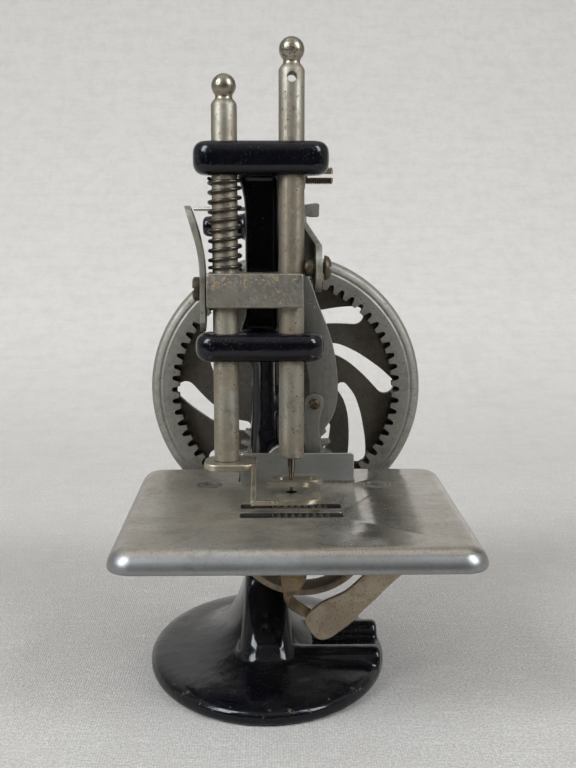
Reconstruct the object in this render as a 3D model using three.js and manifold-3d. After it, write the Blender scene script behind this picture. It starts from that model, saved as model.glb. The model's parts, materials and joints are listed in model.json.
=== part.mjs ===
// Small hand-cranked chain-stitch sewing machine, in millimetres with +Z up.
// Origin: centre of the oval base's underside. +X is the side the person sewing sits at,
// +Y runs from the needle to the hand wheel. Front means -Y, back +Y, left -X, right +X.
import * as THREE from 'three';
import { mergeVertices } from 'three/addons/utils/BufferGeometryUtils.js';
import Module from 'manifold-3d';

const wasm = await Module();
wasm.setup();

// ---------------------------------------------------------------- outline helpers
// Outlines are lists of [u, v] points; spans are [low, high] pairs; angles are in degrees.
const radians = THREE.MathUtils.degToRad;
const degrees = THREE.MathUtils.radToDeg;

function polar([u, v], radius, angle) {
  return [u + radius * Math.cos(radians(angle)), v + radius * Math.sin(radians(angle))];
}

// arc from one angle to another, or a closed circle
function arc(centre, radius, segments, from = 0, to = 360) {
  const count = to - from >= 360 ? segments : segments + 1;
  return Array.from({ length: count }, (_, i) => (
    polar(centre, radius, from + (to - from) * i / segments)));
}

function roundedRect([u0, u1], [v0, v1], radius, segments) {
  return [
    ...arc([u1 - radius, v0 + radius], radius, segments, -90, 0),
    ...arc([u1 - radius, v1 - radius], radius, segments, 0, 90),
    ...arc([u0 + radius, v1 - radius], radius, segments, 90, 180),
    ...arc([u0 + radius, v0 + radius], radius, segments, 180, 270),
  ];
}

// outline around two circles joined by their outer tangents
function link(start, startRadius, end, endRadius, segments) {
  const du = end[0] - start[0];
  const dv = end[1] - start[1];
  const heading = degrees(Math.atan2(dv, du));
  const spread = degrees(Math.acos((startRadius - endRadius) / Math.hypot(du, dv)));
  return [
    ...arc(end, endRadius, segments, heading - spread, heading + spread),
    ...arc(start, startRadius, segments, heading + spread, heading + 360 - spread),
  ];
}

// strip with round ends along a centreline, with one width per point
function strip(line, widths, segments) {
  const left = [];
  const right = [];
  const last = line.length - 1;
  line.forEach(([u, v], i) => {
    const before = line[Math.max(0, i - 1)];
    const after = line[Math.min(last, i + 1)];
    const heading = Math.atan2(after[1] - before[1], after[0] - before[0]);
    const du = widths[i] / 2 * Math.sin(heading);
    const dv = widths[i] / 2 * Math.cos(heading);
    left.push([u - du, v + dv]);
    right.push([u + du, v - dv]);
  });
  const cap = (i, neighbour) => {
    const [u, v] = line[i];
    const outward = degrees(Math.atan2(v - line[neighbour][1], u - line[neighbour][0]));
    return arc([u, v], widths[i] / 2, segments, outward - 90, outward + 90).slice(1, -1);
  };
  return [...right, ...cap(last, last - 1), ...left.reverse(), ...cap(0, 1)];
}

// gear outline; tooth rows are [radius, degrees from the tooth's middle]
function gearOutline(centre, count, tooth) {
  return Array.from({ length: count }, (_, i) => (
    tooth.map(([radius, offset]) => polar(centre, radius, -90 + i * 360 / count + offset))
  )).flat();
}

// ---------------------------------------------------------------- solid helpers
const join = (first, ...others) => others.reduce((sum, solid) => sum.add(solid), first);
const cut = (first, ...others) => others.reduce((rest, solid) => rest.subtract(solid), first);

function fromGeometry(geometry) {
  // only positions count when seam vertices are merged
  geometry.deleteAttribute('normal');
  geometry.deleteAttribute('uv');
  const merged = mergeVertices(geometry, 1e-4);
  const positions = merged.attributes.position.array;
  const index = merged.index.array;
  const corner = i => new THREE.Vector3().fromArray(positions, 3 * i);
  const triangles = [];
  let volume = 0;
  for (let i = 0; i < index.length; i += 3) {
    const [a, b, c] = index.slice(i, i + 3);
    if (a === b || b === c || a === c) continue;
    triangles.push(a, b, c);
    volume += corner(a).dot(corner(b).cross(corner(c)));
  }
  // turn an inside-out mesh the right way round
  if (volume < 0) triangles.reverse();
  return new wasm.Manifold(new wasm.Mesh({
    numProp: 3,
    vertProperties: new Float32Array(positions),
    triVerts: new Uint32Array(triangles),
  }));
}

function box([x0, x1], [y0, y1], [z0, z1]) {
  const geometry = new THREE.BoxGeometry(x1 - x0, y1 - y0, z1 - z0);
  geometry.translate((x0 + x1) / 2, (y0 + y1) / 2, (z0 + z1) / 2);
  return fromGeometry(geometry);
}

// lays a solid built around Y along an axis; centre is its other two places, in x, y, z order
function alongAxis(geometry, axis, [u, v]) {
  if (axis === 'x') geometry.rotateZ(-Math.PI / 2).translate(0, u, v);
  if (axis === 'y') geometry.translate(u, 0, v);
  if (axis === 'z') geometry.rotateX(Math.PI / 2).translate(u, v, 0);
  return fromGeometry(geometry);
}

function cylinder(axis, centre, radius, [from, to], segments, endRadius = radius) {
  const geometry = new THREE.CylinderGeometry(endRadius, radius, to - from, segments);
  geometry.translate(0, (from + to) / 2, 0);
  return alongAxis(geometry, axis, centre);
}

// body of revolution; profile rows are [radius, position along the axis]
function turn(axis, centre, profile, segments) {
  const points = profile.map(([radius, along]) => new THREE.Vector2(radius, along));
  return alongAxis(new THREE.LatheGeometry(points, segments), axis, centre);
}

const toVectors = points => points.map(([u, v]) => new THREE.Vector2(u, v));
const X = new THREE.Vector3(1, 0, 0);
const Y = new THREE.Vector3(0, 1, 0);
const Z = new THREE.Vector3(0, 0, 1);
// where u, v and the thickness go
const PLANES = {
  xy: new THREE.Matrix4().makeBasis(X, Y, Z),
  xz: new THREE.Matrix4().makeBasis(X, Z, Y),
  yz: new THREE.Matrix4().makeBasis(Y, Z, X),
};

// outline drawn in a plane and given a thickness across it
function plate(plane, outline, [from, to], bevel = 0, bevelSegments = 1) {
  const geometry = new THREE.ExtrudeGeometry(new THREE.Shape(toVectors(outline)), {
    depth: to - from - 2 * bevel,
    steps: 1,
    bevelEnabled: bevel > 0,
    bevelThickness: bevel,
    bevelSize: bevel,
    bevelOffset: -bevel,
    bevelSegments,
  });
  geometry.translate(0, 0, from + bevel);
  geometry.applyMatrix4(PLANES[plane]);
  return fromGeometry(geometry);
}

// stack of superellipse sections; rows are [z, x radius, y radius, centre x, centre y, exponent]
function loft(rows, segments) {
  const profile = [[0, 0], ...rows.map((_, i) => [1, i]), [0, rows.length - 1]];
  const geometry = new THREE.LatheGeometry(toVectors(profile), segments);
  const position = geometry.attributes.position;
  const power = (value, exponent) => Math.sign(value) * Math.pow(Math.abs(value), exponent);
  for (let i = 0; i < position.count; i++) {
    const [z, radiusX, radiusY, centreX, centreY, exponent] = rows[Math.round(position.getY(i))];
    const x = position.getX(i);
    const y = position.getZ(i);
    if (Math.hypot(x, y) < 0.5) {
      position.setXYZ(i, centreX, centreY, z);
      continue;
    }
    const angle = Math.atan2(y, x);
    position.setXYZ(i, centreX + radiusX * power(Math.cos(angle), 2 / exponent),
      centreY + radiusY * power(Math.sin(angle), 2 / exponent), z);
  }
  return fromGeometry(geometry);
}

// ---------------------------------------------------------------- finishes and assembly
const NICKEL = 0x8f9089, STEEL = 0x77756a, BROWN = 0x6b5a48;
const FINISH = {
  enamel: { color: 0x0b0d14, roughness: 0.12, metalness: 0.1 },
  wornPlate: { color: 0x8a8983, roughness: 0.3, metalness: 1 },
  darkKnob: { color: 0x1a1512, roughness: 0.35, metalness: 0 },
  needle: { color: 0x8b857c, roughness: 0.25, metalness: 1 },
  nickel: { color: NICKEL, roughness: 0.4, metalness: 0.95 },
  brightNickel: { color: NICKEL, roughness: 0.3, metalness: 1 },
  smoothNickel: { color: NICKEL, roughness: 0.35, metalness: 1 },
  nickelWire: { color: NICKEL, roughness: 0.4, metalness: 1 },
  satinNickel: { color: NICKEL, roughness: 0.45, metalness: 0.95 },
  screw: { color: STEEL, roughness: 0.4, metalness: 1 },
  roughScrew: { color: STEEL, roughness: 0.5, metalness: 1 },
  steel: { color: STEEL, roughness: 0.4, metalness: 0.95 },
  satinSteel: { color: STEEL, roughness: 0.45, metalness: 0.95 },
  roughSteel: { color: STEEL, roughness: 0.5, metalness: 0.95 },
  dullSteel: { color: STEEL, roughness: 0.5, metalness: 0.9 },
  brownScrew: { color: BROWN, roughness: 0.5, metalness: 0.9 },
  brown: { color: BROWN, roughness: 0.6, metalness: 0.8 },
};

const group = new THREE.Group();
function add(name, finish, solid) {
  const { vertProperties, triVerts } = solid.getMesh();
  const geometry = new THREE.BufferGeometry();
  geometry.setAttribute('position', new THREE.BufferAttribute(new Float32Array(vertProperties), 3));
  geometry.setIndex(new THREE.BufferAttribute(new Uint32Array(triVerts), 1));
  geometry.computeVertexNormals();
  const mesh = new THREE.Mesh(geometry, new THREE.MeshStandardMaterial(finish));
  mesh.name = name;
  group.add(mesh);
}

// ---------------------------------------------------------------- driving dimensions
const BASE_X = -0.35, BASE_RX = 32.4, BASE_RY = 43;  // oval base: centre, half width and length
const BED_X = [-37.6, 51.5], BED_Y = [-54.4, 31];    // bed plate outline
const BED_TOP = 48, BED_T = 1.2, BED_LIP = 5.4;      // top, sheet thickness, turned-down lip
const BED_UNDER = BED_TOP - BED_T;
const BED_SCREW_X = [-16.6, 30.8], BED_SCREW_Y = 8.2;
const NEEDLE_X = 6.4, NEEDLE = [NEEDLE_X, 0];        // needle bar axis, along Z
const PRESSER_X = -11.3, PRESSER = [PRESSER_X, 0];   // presser bar axis, along Z
const BAR_R = 3.4, BORE_R = 3.55;                    // both bars, and their bores in the lugs
const WHEEL_X = 5.4, WHEEL_Z = 71.35, WHEEL_R = 40.75;
const WHEEL = [WHEEL_X, WHEEL_Z];
const GEAR_MODULE = 1.1, RING_TEETH = 60, PINION_TEETH = 24;  // internal gear pair
const RING_PITCH_R = GEAR_MODULE * RING_TEETH / 2;
const PINION_PITCH_R = GEAR_MODULE * PINION_TEETH / 2;
const PINION_Z = WHEEL_Z - (RING_PITCH_R - PINION_PITCH_R);
const PINION = [WHEEL_X, PINION_Z];
const CRANK_PIN = [WHEEL_X, PINION_Z - 3.25];        // below the pinion by the crank throw
const LEVER_PIVOT = [23, 120.3];                     // needle lever pivot: y, z
const STUD = [0, 109.6];                             // needle bar stud: y, z
const LIFTER = [0, 104];                             // presser lifter pivot: y, z
const TENSION = [13.2, 134.2];                       // thread tension stud: y, z
const THREAD_WIRE = [12, 125.2];                     // y, z
const GUIDE_SCREW = [-1.4, 124.9];                   // x, z
const LOOPER = [6.4, 34], ROCKER = [37, 39];         // shafts along Y: x, z
const SHAFT_R = 1.62, BEARING_R = 1.7, HUB_BORE_R = 1.64;  // both shafts and their bores

// ---------------------------------------------------------------- cast frame
function frameCasting() {
  const base = loft([
    [0.0, BASE_RX - 1.0, BASE_RY - 1.0, BASE_X, 0, 2],
    [1.0, BASE_RX, BASE_RY, BASE_X, 0, 2],
    [2.8, BASE_RX, BASE_RY, BASE_X, 0, 2],
    [3.9, BASE_RX - 0.9, BASE_RY - 0.9, BASE_X, 0, 2],
    [4.6, 29.2, 39.6, BASE_X, 0, 2], [5.0, 21.0, 30.0, -0.4, 2.4, 2.05],
    [6.2, 15.0, 25.4, -0.8, 5.6, 2.1], [8.6, 10.8, 21.6, -1.2, 8.4, 2.3],
    [12.5, 8.0, 18.4, -1.4, 10.2, 2.6], [18, 5.9, 16.0, -1.5, 11.8, 3],
    [26, 4.8, 14.4, -1.4, 13.0, 3.4], [36, 4.6, 14.0, -1.4, 13.4, 3.6],
    [46.4, 4.9, 14.2, -1.4, 13.6, 3.6],
  ], 32);
  // column behind the needle bar, rising from the table to the arm
  const column = loft([
    [43, 5.3, 5.3, -0.2, 24.3, 3.6], [52, 5.2, 5.3, -0.1, 24.3, 3.6],
    [60, 4.8, 5.6, -0.3, 24.0, 3.6], [68, 4.5, 5.9, -0.4, 23.6, 3.6],
    [78, 4.4, 6.9, -0.4, 22.7, 3.6], [90, 4.6, 9.4, -0.6, 20.0, 3.6],
  ], 24);
  // arm slab, outline in y, z
  const arm = plate('yz', [
    [5.2, 89], [5.8, 86.4], [8.6, 84.6], [12, 84.2], [15, 82.9], [17.2, 81], [28.9, 81],
    [29.4, 85], [29.4, 112], [28.8, 120], [26.6, 127.5], [22.6, 134], [17, 138.8],
    [11, 141.3], [5.2, 142.2],
  ], [-6.1, 3.2], 1.3, 2);
  // lugs that carry both bars in front of the arm
  const lug = (spanX, spanZ) => (
    plate('xy', roundedRect(spanX, [-5.7, 6.2], 5.2, 4), spanZ, 2.4, 2));
  const bosses = [
    cylinder('x', LEVER_PIVOT, 4.2, [2.0, 7.4], 20, 3.9),
    cylinder('x', LEVER_PIVOT, 2.9, [-18.5, -5.0], 20, 3.7),
    cylinder('y', WHEEL, 4.7, [18.4, 30.0], 24),
    cylinder('y', PINION, 5.2, [18.8, 30.4], 24),
  ];
  // table and front pad under the bed plate
  const padTop = BED_UNDER - 0.05;
  const table = plate('xy', roundedRect([-21.5, 34.2], [3.6, 10.8], 3.2, 3), [40.5, padTop], 0.8);
  const frontPad = plate('xy', roundedRect([-6.2, 2.6], [-0.4, 10.5], 2.2, 3), [41, padTop]);
  // two ridges on the right of the base, with a flat-floored channel between them
  const channelY = [-8.8, 3.0];
  const ridge = (y0, y1, endX) => plate('yz', [
    [y0, 3.5], [y1, 3.5], [y1, 6.2], [y1 - 1.2, 7.8], [y1 - 2.4, 8.3],
    [y0 + 2.6, 8.3], [y0 + 1.1, 7.4], [y0, 5.4],
  ], [4, endX], 0.9, 2);
  const body = join(
    base, column, arm,
    lug([-19.6, 16.3], [133.8, 142.6]), lug([-19.5, 15.3], [84.5, 92.3]),
    ...bosses, table, frontPad,
    ridge(-16.2, channelY[0], 30.2), ridge(channelY[1], 9.4, 31.0));

  const channel = box([12.5, 40], channelY, [4.0, 12]);
  // clearance for the crank disc and rods behind the guard
  const rodSpace = box([-3.2, 16], [11.0, 18.6], [36.5, 62]);
  const barBores = [NEEDLE, PRESSER].flatMap(axis => (
    [[80, 97], [130, 146]].map(span => cylinder('z', axis, BORE_R, span, 20))));
  return cut(
    body, channel, rodSpace, ...barBores,
    cylinder('y', WHEEL, 2.55, [20, 31], 24),
    cylinder('y', PINION, 2.58, [17, 32], 24),
    cylinder('x', LEVER_PIVOT, 2.05, [-2, 9], 20),
    cylinder('x', TENSION, 2.0, [-3, 5], 16),
    cylinder('x', THREAD_WIRE, 0.62, [-9, -3], 12),
    cylinder('y', GUIDE_SCREW, 1.05, [25, 31], 16),
    ...BED_SCREW_X.map(x => cylinder('z', [x, BED_SCREW_Y], 1.62, [41.5, 50], 16)));
}
add('frame_casting', FINISH.enamel, frameCasting());

// ---------------------------------------------------------------- bed plate
const FEED_SLOTS_Y = [[-17.0, -12.3], [-25.6, -20.9]];

function bedPlate() {
  const inset = ([low, high], depth) => [low + depth, high - depth];
  const lipBottom = BED_TOP - BED_LIP;
  const outer = plate('xy', roundedRect(BED_X, BED_Y, 6.6, 5), [lipBottom - 2.4, BED_TOP], 2.4, 3);
  const innerOutline = roundedRect(inset(BED_X, 1.3), inset(BED_Y, 1.3), 5.3, 5);
  const hollow = plate('xy', innerOutline, [30, BED_UNDER], 1.6);
  const belowLip = box([-60, 70], [-70, 60], [30, lipBottom]);
  const columnNotch = box([-8.4, 24.8], [11.2, 40], [30, 60]);
  const sheet = cut(outer, hollow, belowLip, columnNotch);
  // guard turned up in front of the notch
  const guardOutline = roundedRect([-7.9, 24.4], [40, 56.7], 1.0, 2);
  const guard = cut(plate('xz', guardOutline, [9.4, 10.5], 0.25),
    box([-20, 40], [0, 20], [30, BED_TOP - 0.6]));
  return cut(
    join(sheet, guard),
    ...FEED_SLOTS_Y.map(span => plate('xy', roundedRect([-7.2, 19.1], span, 0.7, 2), [45, 50])),
    cylinder('z', NEEDLE, 1.4, [45, 50], 16),
    ...BED_SCREW_X.map(x => cylinder('z', [x, BED_SCREW_Y], 1.75, [46.6, 48.01], 16, 3.2)));
}
add('bed_plate', FINISH.wornPlate, bedPlate());

BED_SCREW_X.forEach((x, i) => {
  const screw = turn('z', [x, BED_SCREW_Y], [
    [0, 42.2], [1.25, 42.2], [1.55, 42.8], [1.55, 46.75], [3.0, 47.92], [3.0, BED_TOP],
    [0, BED_TOP],
  ], 16);
  const slot = box([x - 4, x + 4], [BED_SCREW_Y - 0.35, BED_SCREW_Y + 0.35], [47.5, 49]);
  add(i ? 'bed_screw_right' : 'bed_screw_left', FINISH.screw, cut(screw, slot));
});

// ---------------------------------------------------------------- hand wheel and crank handle
const HANDLE = polar(WHEEL, 31, 249);  // crank handle axis: x, z

function handWheel() {
  const body = turn('y', WHEEL, [
    [2.6, 33.6], [6.4, 33.6], [7.0, 36.6], [32.1, 36.6], [32.1, 32.5], [37.8, 32.3],
    [39.6, 33.2], [WHEEL_R, 35.6], [WHEEL_R, 38.2], [39.8, 40.3], [37.6, 41.0],
    [35.4, 40.4], [34.8, 38.8], [7.6, 38.8], [7.0, 41.0], [2.6, 41.0], [2.6, 33.6],
  ], 60);
  const tip = RING_PITCH_R - 1.8;
  const root = RING_PITCH_R + 1.3;
  const ringGear = gearOutline(WHEEL, RING_TEETH,
    [[tip, -2.1], [root, -1.0], [root, 1.0], [tip, 2.1]]);
  // curved slot between spokes: [radius, degrees, width]
  const slot = [
    [30.4, 1.5, 5.6], [27.8, 7.5, 5.2], [25.2, 14.6, 4.6],
    [22.4, 24.5, 4.0], [19.6, 36, 3.6], [17.3, 44.6, 3.3],
  ];
  const widths = slot.map(([, , width]) => width);
  const slots = Array.from({ length: 8 }, (_, i) => {
    const line = slot.map(([radius, angle]) => polar(WHEEL, radius, i * 45 + angle));
    return plate('xz', strip(line, widths, 3), [35, 40]);
  });
  return cut(body, plate('xz', ringGear, [30, 36.6]), ...slots,
    cylinder('y', HANDLE, 1.66, [36.9, 45], 16));
}
add('hand_wheel', FINISH.nickel, handWheel());

add('wheel_axle_screw', FINISH.screw, cut(
  turn('y', WHEEL, [
    [0, 21], [2.1, 21], [2.5, 21.5], [2.5, 41.4], [4.6, 41.4], [4.9, 42.0], [4.3, 43.2],
    [2.4, 43.9], [0, 44.0],
  ], 24),
  box([WHEEL_X - 6, WHEEL_X + 6], [42.9, 46], [WHEEL_Z - 0.5, WHEEL_Z + 0.5])));
add('crank_spindle', FINISH.screw, turn('y', HANDLE, [
  [0, 37.0], [1.6, 37.0], [1.6, 39.3], [2.9, 39.3], [2.9, 40.6], [1.6, 40.6], [1.6, 71.0],
  [2.7, 71.0], [2.7, 71.8], [1.9, 72.7], [0, 73.0],
], 16));
add('crank_knob', FINISH.darkKnob, turn('y', HANDLE, [
  [1.75, 41.2], [3.6, 41.2], [4.3, 42.2], [4.2, 44.5], [3.7, 47.5], [4.1, 52], [5.3, 59],
  [5.9, 64], [5.6, 67.6], [4.4, 69.9], [2.9, 70.6], [1.75, 70.6], [1.75, 41.2],
], 18));

// ---------------------------------------------------------------- pinion and crank disc
const PINION_BORE_R = 2.52;

function pinion() {
  const tip = PINION_PITCH_R + 0.9;
  const root = PINION_PITCH_R - 1.5;
  const outline = gearOutline(PINION, PINION_TEETH,
    [[root, -4.7], [tip, -1.7], [tip, 1.7], [root, 4.7]]);
  const collar = cylinder('y', PINION, 4.2, [30.8, 32.6], 24);
  const bore = cylinder('y', PINION, PINION_BORE_R, [30, 38], 24);
  return cut(join(plate('xz', outline, [32.4, 36.2]), collar), bore);
}
add('pinion', FINISH.satinSteel, pinion());
add('pinion_shaft', FINISH.smoothNickel, turn('y', PINION, [
  [0, 16.3], [2.5, 16.3], [2.5, 36.3], [2.1, 36.5], [0, 36.5],
], 24));

function crankDisc() {
  const disc = turn('y', PINION, [
    [0, 15.9], [6.2, 15.9], [6.5, 16.2], [6.5, 18.2], [6.2, 18.5], [0, 18.5],
  ], 28);
  const pin = cylinder('y', CRANK_PIN, 1.3, [15.35, 16.4], 16);
  return cut(join(disc, pin), cylinder('y', PINION, PINION_BORE_R, [16.28, 19], 24));
}
add('crank_disc', FINISH.satinSteel, crankDisc());

// ---------------------------------------------------------------- needle bar, needle and stud
const NEEDLE_SCREW = [NEEDLE_X, 61.5];  // needle set screw: x, z

function needleBar() {
  const bar = turn('z', NEEDLE, [
    [0, 58], [BAR_R - 0.6, 58], [BAR_R, 58.6], [BAR_R, 161.2], [3.0, 162.2], [2.3, 162.8],
    [2.3, 163.4], [2.9, 164.2], [3.3, 165.4], [3.35, 166.4], [3.1, 167.8], [2.4, 168.9],
    [1.2, 169.5], [0, 169.6],
  ], 20);
  const needleSocket = cylinder('z', NEEDLE, 1.15, [57, 68], 16);
  const crossHole = cylinder('y', [NEEDLE_X, 159], 1.2, [-5, 5], 14);
  const screwHole = cylinder('y', NEEDLE_SCREW, 1.2, [0, 5], 12);
  const studHole = cylinder('x', STUD, 1.55, [NEEDLE_X - 1, NEEDLE_X + 5], 16);
  return cut(bar, needleSocket, crossHole, screwHole, studHole);
}
add('needle_bar', FINISH.nickel, needleBar());
add('needle', FINISH.needle, turn('z', NEEDLE, [
  [0, 36.4], [0.25, 37.6], [0.52, 40.5], [0.55, 51.5], [1.1, 54.6], [1.1, 67.6], [0, 67.6],
], 12));
add('needle_set_screw', FINISH.roughScrew, turn('y', NEEDLE_SCREW, [
  [0, 1.35], [0.8, 1.35], [1.12, 1.7], [1.12, 3.3], [0, 3.3],
], 12));

// stud with its roller and shank: the roller sits between bar and lever, the head outside
add('needle_bar_stud', FINISH.brownScrew, cut(
  turn('x', STUD, [
    [0, NEEDLE_X - 0.6], [1.5, NEEDLE_X - 0.6], [1.5, 10.0], [2.0, 10.0], [2.2, 10.3],
    [2.2, 12.1], [1.5, 12.3], [1.5, 15.2], [3.3, 15.2], [3.3, 15.6], [2.9, 16.4],
    [1.8, 17.0], [0, 17.2],
  ], 20),
  box([16.4, 18], [-4, 4], [STUD[1] - 0.4, STUD[1] + 0.4])));

// ---------------------------------------------------------------- needle lever
const LEVER_DY = STUD[0] - LEVER_PIVOT[0], LEVER_DZ = STUD[1] - LEVER_PIVOT[1];
const alongLever = distance => (
  polar(LEVER_PIVOT, distance, degrees(Math.atan2(LEVER_DZ, LEVER_DY))));
const PITMAN_PIN = alongLever(9.5);  // y, z

function needleLever() {
  const side = join(
    plate('yz', arc(STUD, 6.4, 24), [0, 20]),
    plate('yz', link(STUD, 4.2, LEVER_PIVOT, 4.9, 10), [0, 20]));
  // plan outline in x, y: stepped out to +X from the pivot towards the needle bar
  const plan = plate('xy', [
    [12.8, -9], [14.4, -9], [14.4, 3], [14.0, 4.6], [10.8, 15], [9.6, 18], [9.3, 19],
    [9.3, 30], [7.7, 30], [7.7, 19], [7.9, 17.8], [9.2, 14.6], [12.4, 4.2], [12.8, 3],
  ], [95, 135]);
  const length = Math.hypot(LEVER_DY, LEVER_DZ);
  const studSlot = strip([alongLever(length - 2.7), alongLever(length + 0.1)], [3.9, 3.9], 6);
  return cut(side.intersect(plan), plate('yz', studSlot, [10, 16]),
    cylinder('x', LEVER_PIVOT, 2.1, [6, 12], 20),
    cylinder('x', PITMAN_PIN, 1.3, [6, 13], 16));
}
add('needle_lever', FINISH.nickel, needleLever());

function leverPivotScrew() {
  const [y, z] = LEVER_PIVOT;
  const screw = turn('x', LEVER_PIVOT, [
    [0, -1.5], [2.0, -1.5], [2.0, 9.5], [3.6, 9.5], [3.6, 10.6], [3.2, 11.2], [0, 11.2],
  ], 20);
  return cut(screw, box([10.4, 12], [y - 5, y + 5], [z - 0.4, z + 0.4]));
}
add('lever_pivot_screw', FINISH.screw, leverPivotScrew());

// ---------------------------------------------------------------- pitman and drive rod
const ROD_RIVET = [13.3, 70.4], ROD_END = [13.9, 39];  // holes of the drive rod: x, z

function pitman() {
  // leaf outline in x, z
  const leaf = plate('xz', [
    [5.9, 114.5], [5.9, 108], [8.2, 104], [9.6, 95], [10.4, 85], [11.4, 79], [11.8, 73],
    [10.8, 67], [8.0, 60], [4.4, 54], [2.3, 50.5], [2.1, 47.9], [3.3, 45.6], [5.4, 44.8],
    [7.6, 45.6], [9.1, 48.2], [10.3, 52], [12.6, 57.8], [14.3, 60.8], [15.8, 62.4],
    [18.0, 65.5], [19.4, 69.0], [19.9, 72.8], [19.8, 78.5], [18.8, 85.7], [16.7, 92.8],
    [14.4, 98.5], [12.7, 103.5], [11.3, 107.0], [8.6, 110.0], [7.6, 112.0], [7.4, 114.5],
  ], [13.8, 15.0], 0.2);
  // ear turned towards the needle lever
  const y = PITMAN_PIN[0];
  const ear = plate('yz', [
    ...arc(PITMAN_PIN, 3.0, 12, 0, 180),
    [y - 3.0, 113.4], [y - 1.6, 111.5], [y + 1.6, 111.5], [y + 3.0, 113.4],
  ], [5.9, 7.3], 0.15);
  return cut(join(leaf, ear),
    cylinder('x', PITMAN_PIN, 1.3, [4, 13], 16),
    cylinder('y', CRANK_PIN, 1.55, [12, 17], 16),
    cylinder('y', ROD_RIVET, 1.3, [12, 17], 14));
}
add('pitman', FINISH.satinSteel, pitman());
add('pitman_pin', FINISH.screw, turn('x', PITMAN_PIN, [
  [0, 4.9], [1.9, 4.9], [1.9, 5.7], [1.22, 5.7], [1.22, 11.6], [2.1, 11.6], [2.1, 12.2],
  [1.6, 12.7], [0, 12.7],
], 16));

// rod riveted to the front of the pitman, reaching down through the bed's notch
add('drive_rod', FINISH.satinNickel, cut(
  plate('xz', [
    [10.6, 71.6], [11.6, 72.9], [13.6, 73.2], [15.4, 72.4], [15.9, 70.4], [15.0, 67.4],
    [14.6, 64], [15.2, 58], [16.0, 46], [16.0, 39], [15.2, 37], [13.9, 36.3], [12.5, 37],
    [11.7, 39], [11.6, 46], [10.6, 58], [10.0, 62.5], [10.4, 68],
  ], [12.4, 13.6], 0.2),
  cylinder('y', ROD_RIVET, 1.3, [10, 17], 14),
  cylinder('y', ROD_END, 1.2, [10, 17], 14)));
add('drive_rod_rivet', FINISH.brown, turn('y', ROD_RIVET, [
  [0, 11.2], [1.7, 11.4], [2.1, 11.9], [2.1, 12.2], [1.22, 12.2], [1.22, 15.2], [2.0, 15.2],
  [1.9, 15.8], [0, 15.9],
], 14));

// ---------------------------------------------------------------- presser bar, block and foot
add('presser_bar', FINISH.nickel, turn('z', PRESSER, [
  [0, 54.4], [2.6, 54.4], [2.9, 54.7], [2.9, 57.3], [BAR_R, 57.3], [BAR_R, 152.6],
  [3.0, 153.4], [2.3, 153.8], [2.3, 154.3], [2.8, 155.0], [3.2, 156.2], [3.25, 157.0],
  [3.0, 158.3], [2.3, 159.4], [1.1, 160.1], [0, 160.2],
], 20));

const BLOCK_SCREW = [PRESSER_X, LIFTER[1]];  // x, z

function guideBlock() {
  const cutZ = [95, 112];
  const body = plate('xz', roundedRect([-16.2, 9.5], [99.2, 108.3], 0.6, 2), [-5.2, 5.2], 0.3);
  // round-ended fork, open to +X, that clears the needle bar
  const forkR = 3.7;
  return cut(body,
    cylinder('z', PRESSER, 3.43, cutZ, 20),
    box([2.2, 20], [-forkR, forkR], cutZ),
    cylinder('z', [2.4, 0], forkR, cutZ, 20),
    cylinder('x', LIFTER, 1.35, [-20, -14.7], 14),
    cylinder('y', BLOCK_SCREW, 1.3, [3.45, 8], 12));
}
add('guide_block', FINISH.steel, guideBlock());
add('block_set_screw', FINISH.roughScrew, turn('y', BLOCK_SCREW, [
  [0, 3.55], [1.22, 3.55], [1.22, 4.6], [0, 4.6],
], 12));

// hub plate on the bar, side web, and a looped sole in front of and around the needle
function presserFoot() {
  const soleZ = [50.3, 51.5];
  const cutZ = [48, 53];
  const hub = plate('xy', roundedRect([-17.4, -3.2], [-6.4, 5.8], 4.2, 4), [55.9, 57.1], 0.25);
  const web = plate('yz', [
    [5.2, 57.0], [-5.8, 57.0], [-11, 55.4], [-17, 52.9], [-22.4, soleZ[1]],
    [-22.4, soleZ[0]], [-4, soleZ[0]], [-1.6, 52], [3.2, 55.2],
  ], [-4.5, -3.2], 0.2);
  const front = [
    ...arc([9.0, -17.6], 4.9, 6, -90, 0), ...arc([9.0, -6.4], 4.9, 6, 0, 75),
    [-4.4, -1.4], [-4.4, -22.5],
  ];
  const frontHole = [
    ...arc([8.9, -17.4], 2.9, 5, -90, 0), ...arc([8.9, -6.4], 2.9, 5, 0, 90),
    [-3.2, -3.5], [-3.2, -20.3],
  ];
  const rear = [
    ...arc([10.9, 2.3], 4.1, 6, -90, 90), ...arc([4.8, 2.3], 4.1, 6, 90, 270),
  ];
  const rearHole = [
    ...arc([11.0, 1.4], 2.2, 5, -90, 90), ...arc([4.7, 1.4], 2.2, 5, 90, 270),
  ];
  const cornerHole = [[-3.2, -3.6], [-3.2, 1.0], [0.4, 1.0], [0.9, -2.0], [2.4, -3.4]];
  const sole = cut(
    join(plate('xy', front, soleZ), plate('xy', rear, soleZ)),
    ...[frontHole, rearHole, cornerHole].map(outline => plate('xy', outline, cutZ)));
  return cut(join(hub, web, sole), cylinder('z', PRESSER, 2.95, [54, 59], 20));
}
add('presser_foot', FINISH.nickel, presserFoot());

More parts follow.
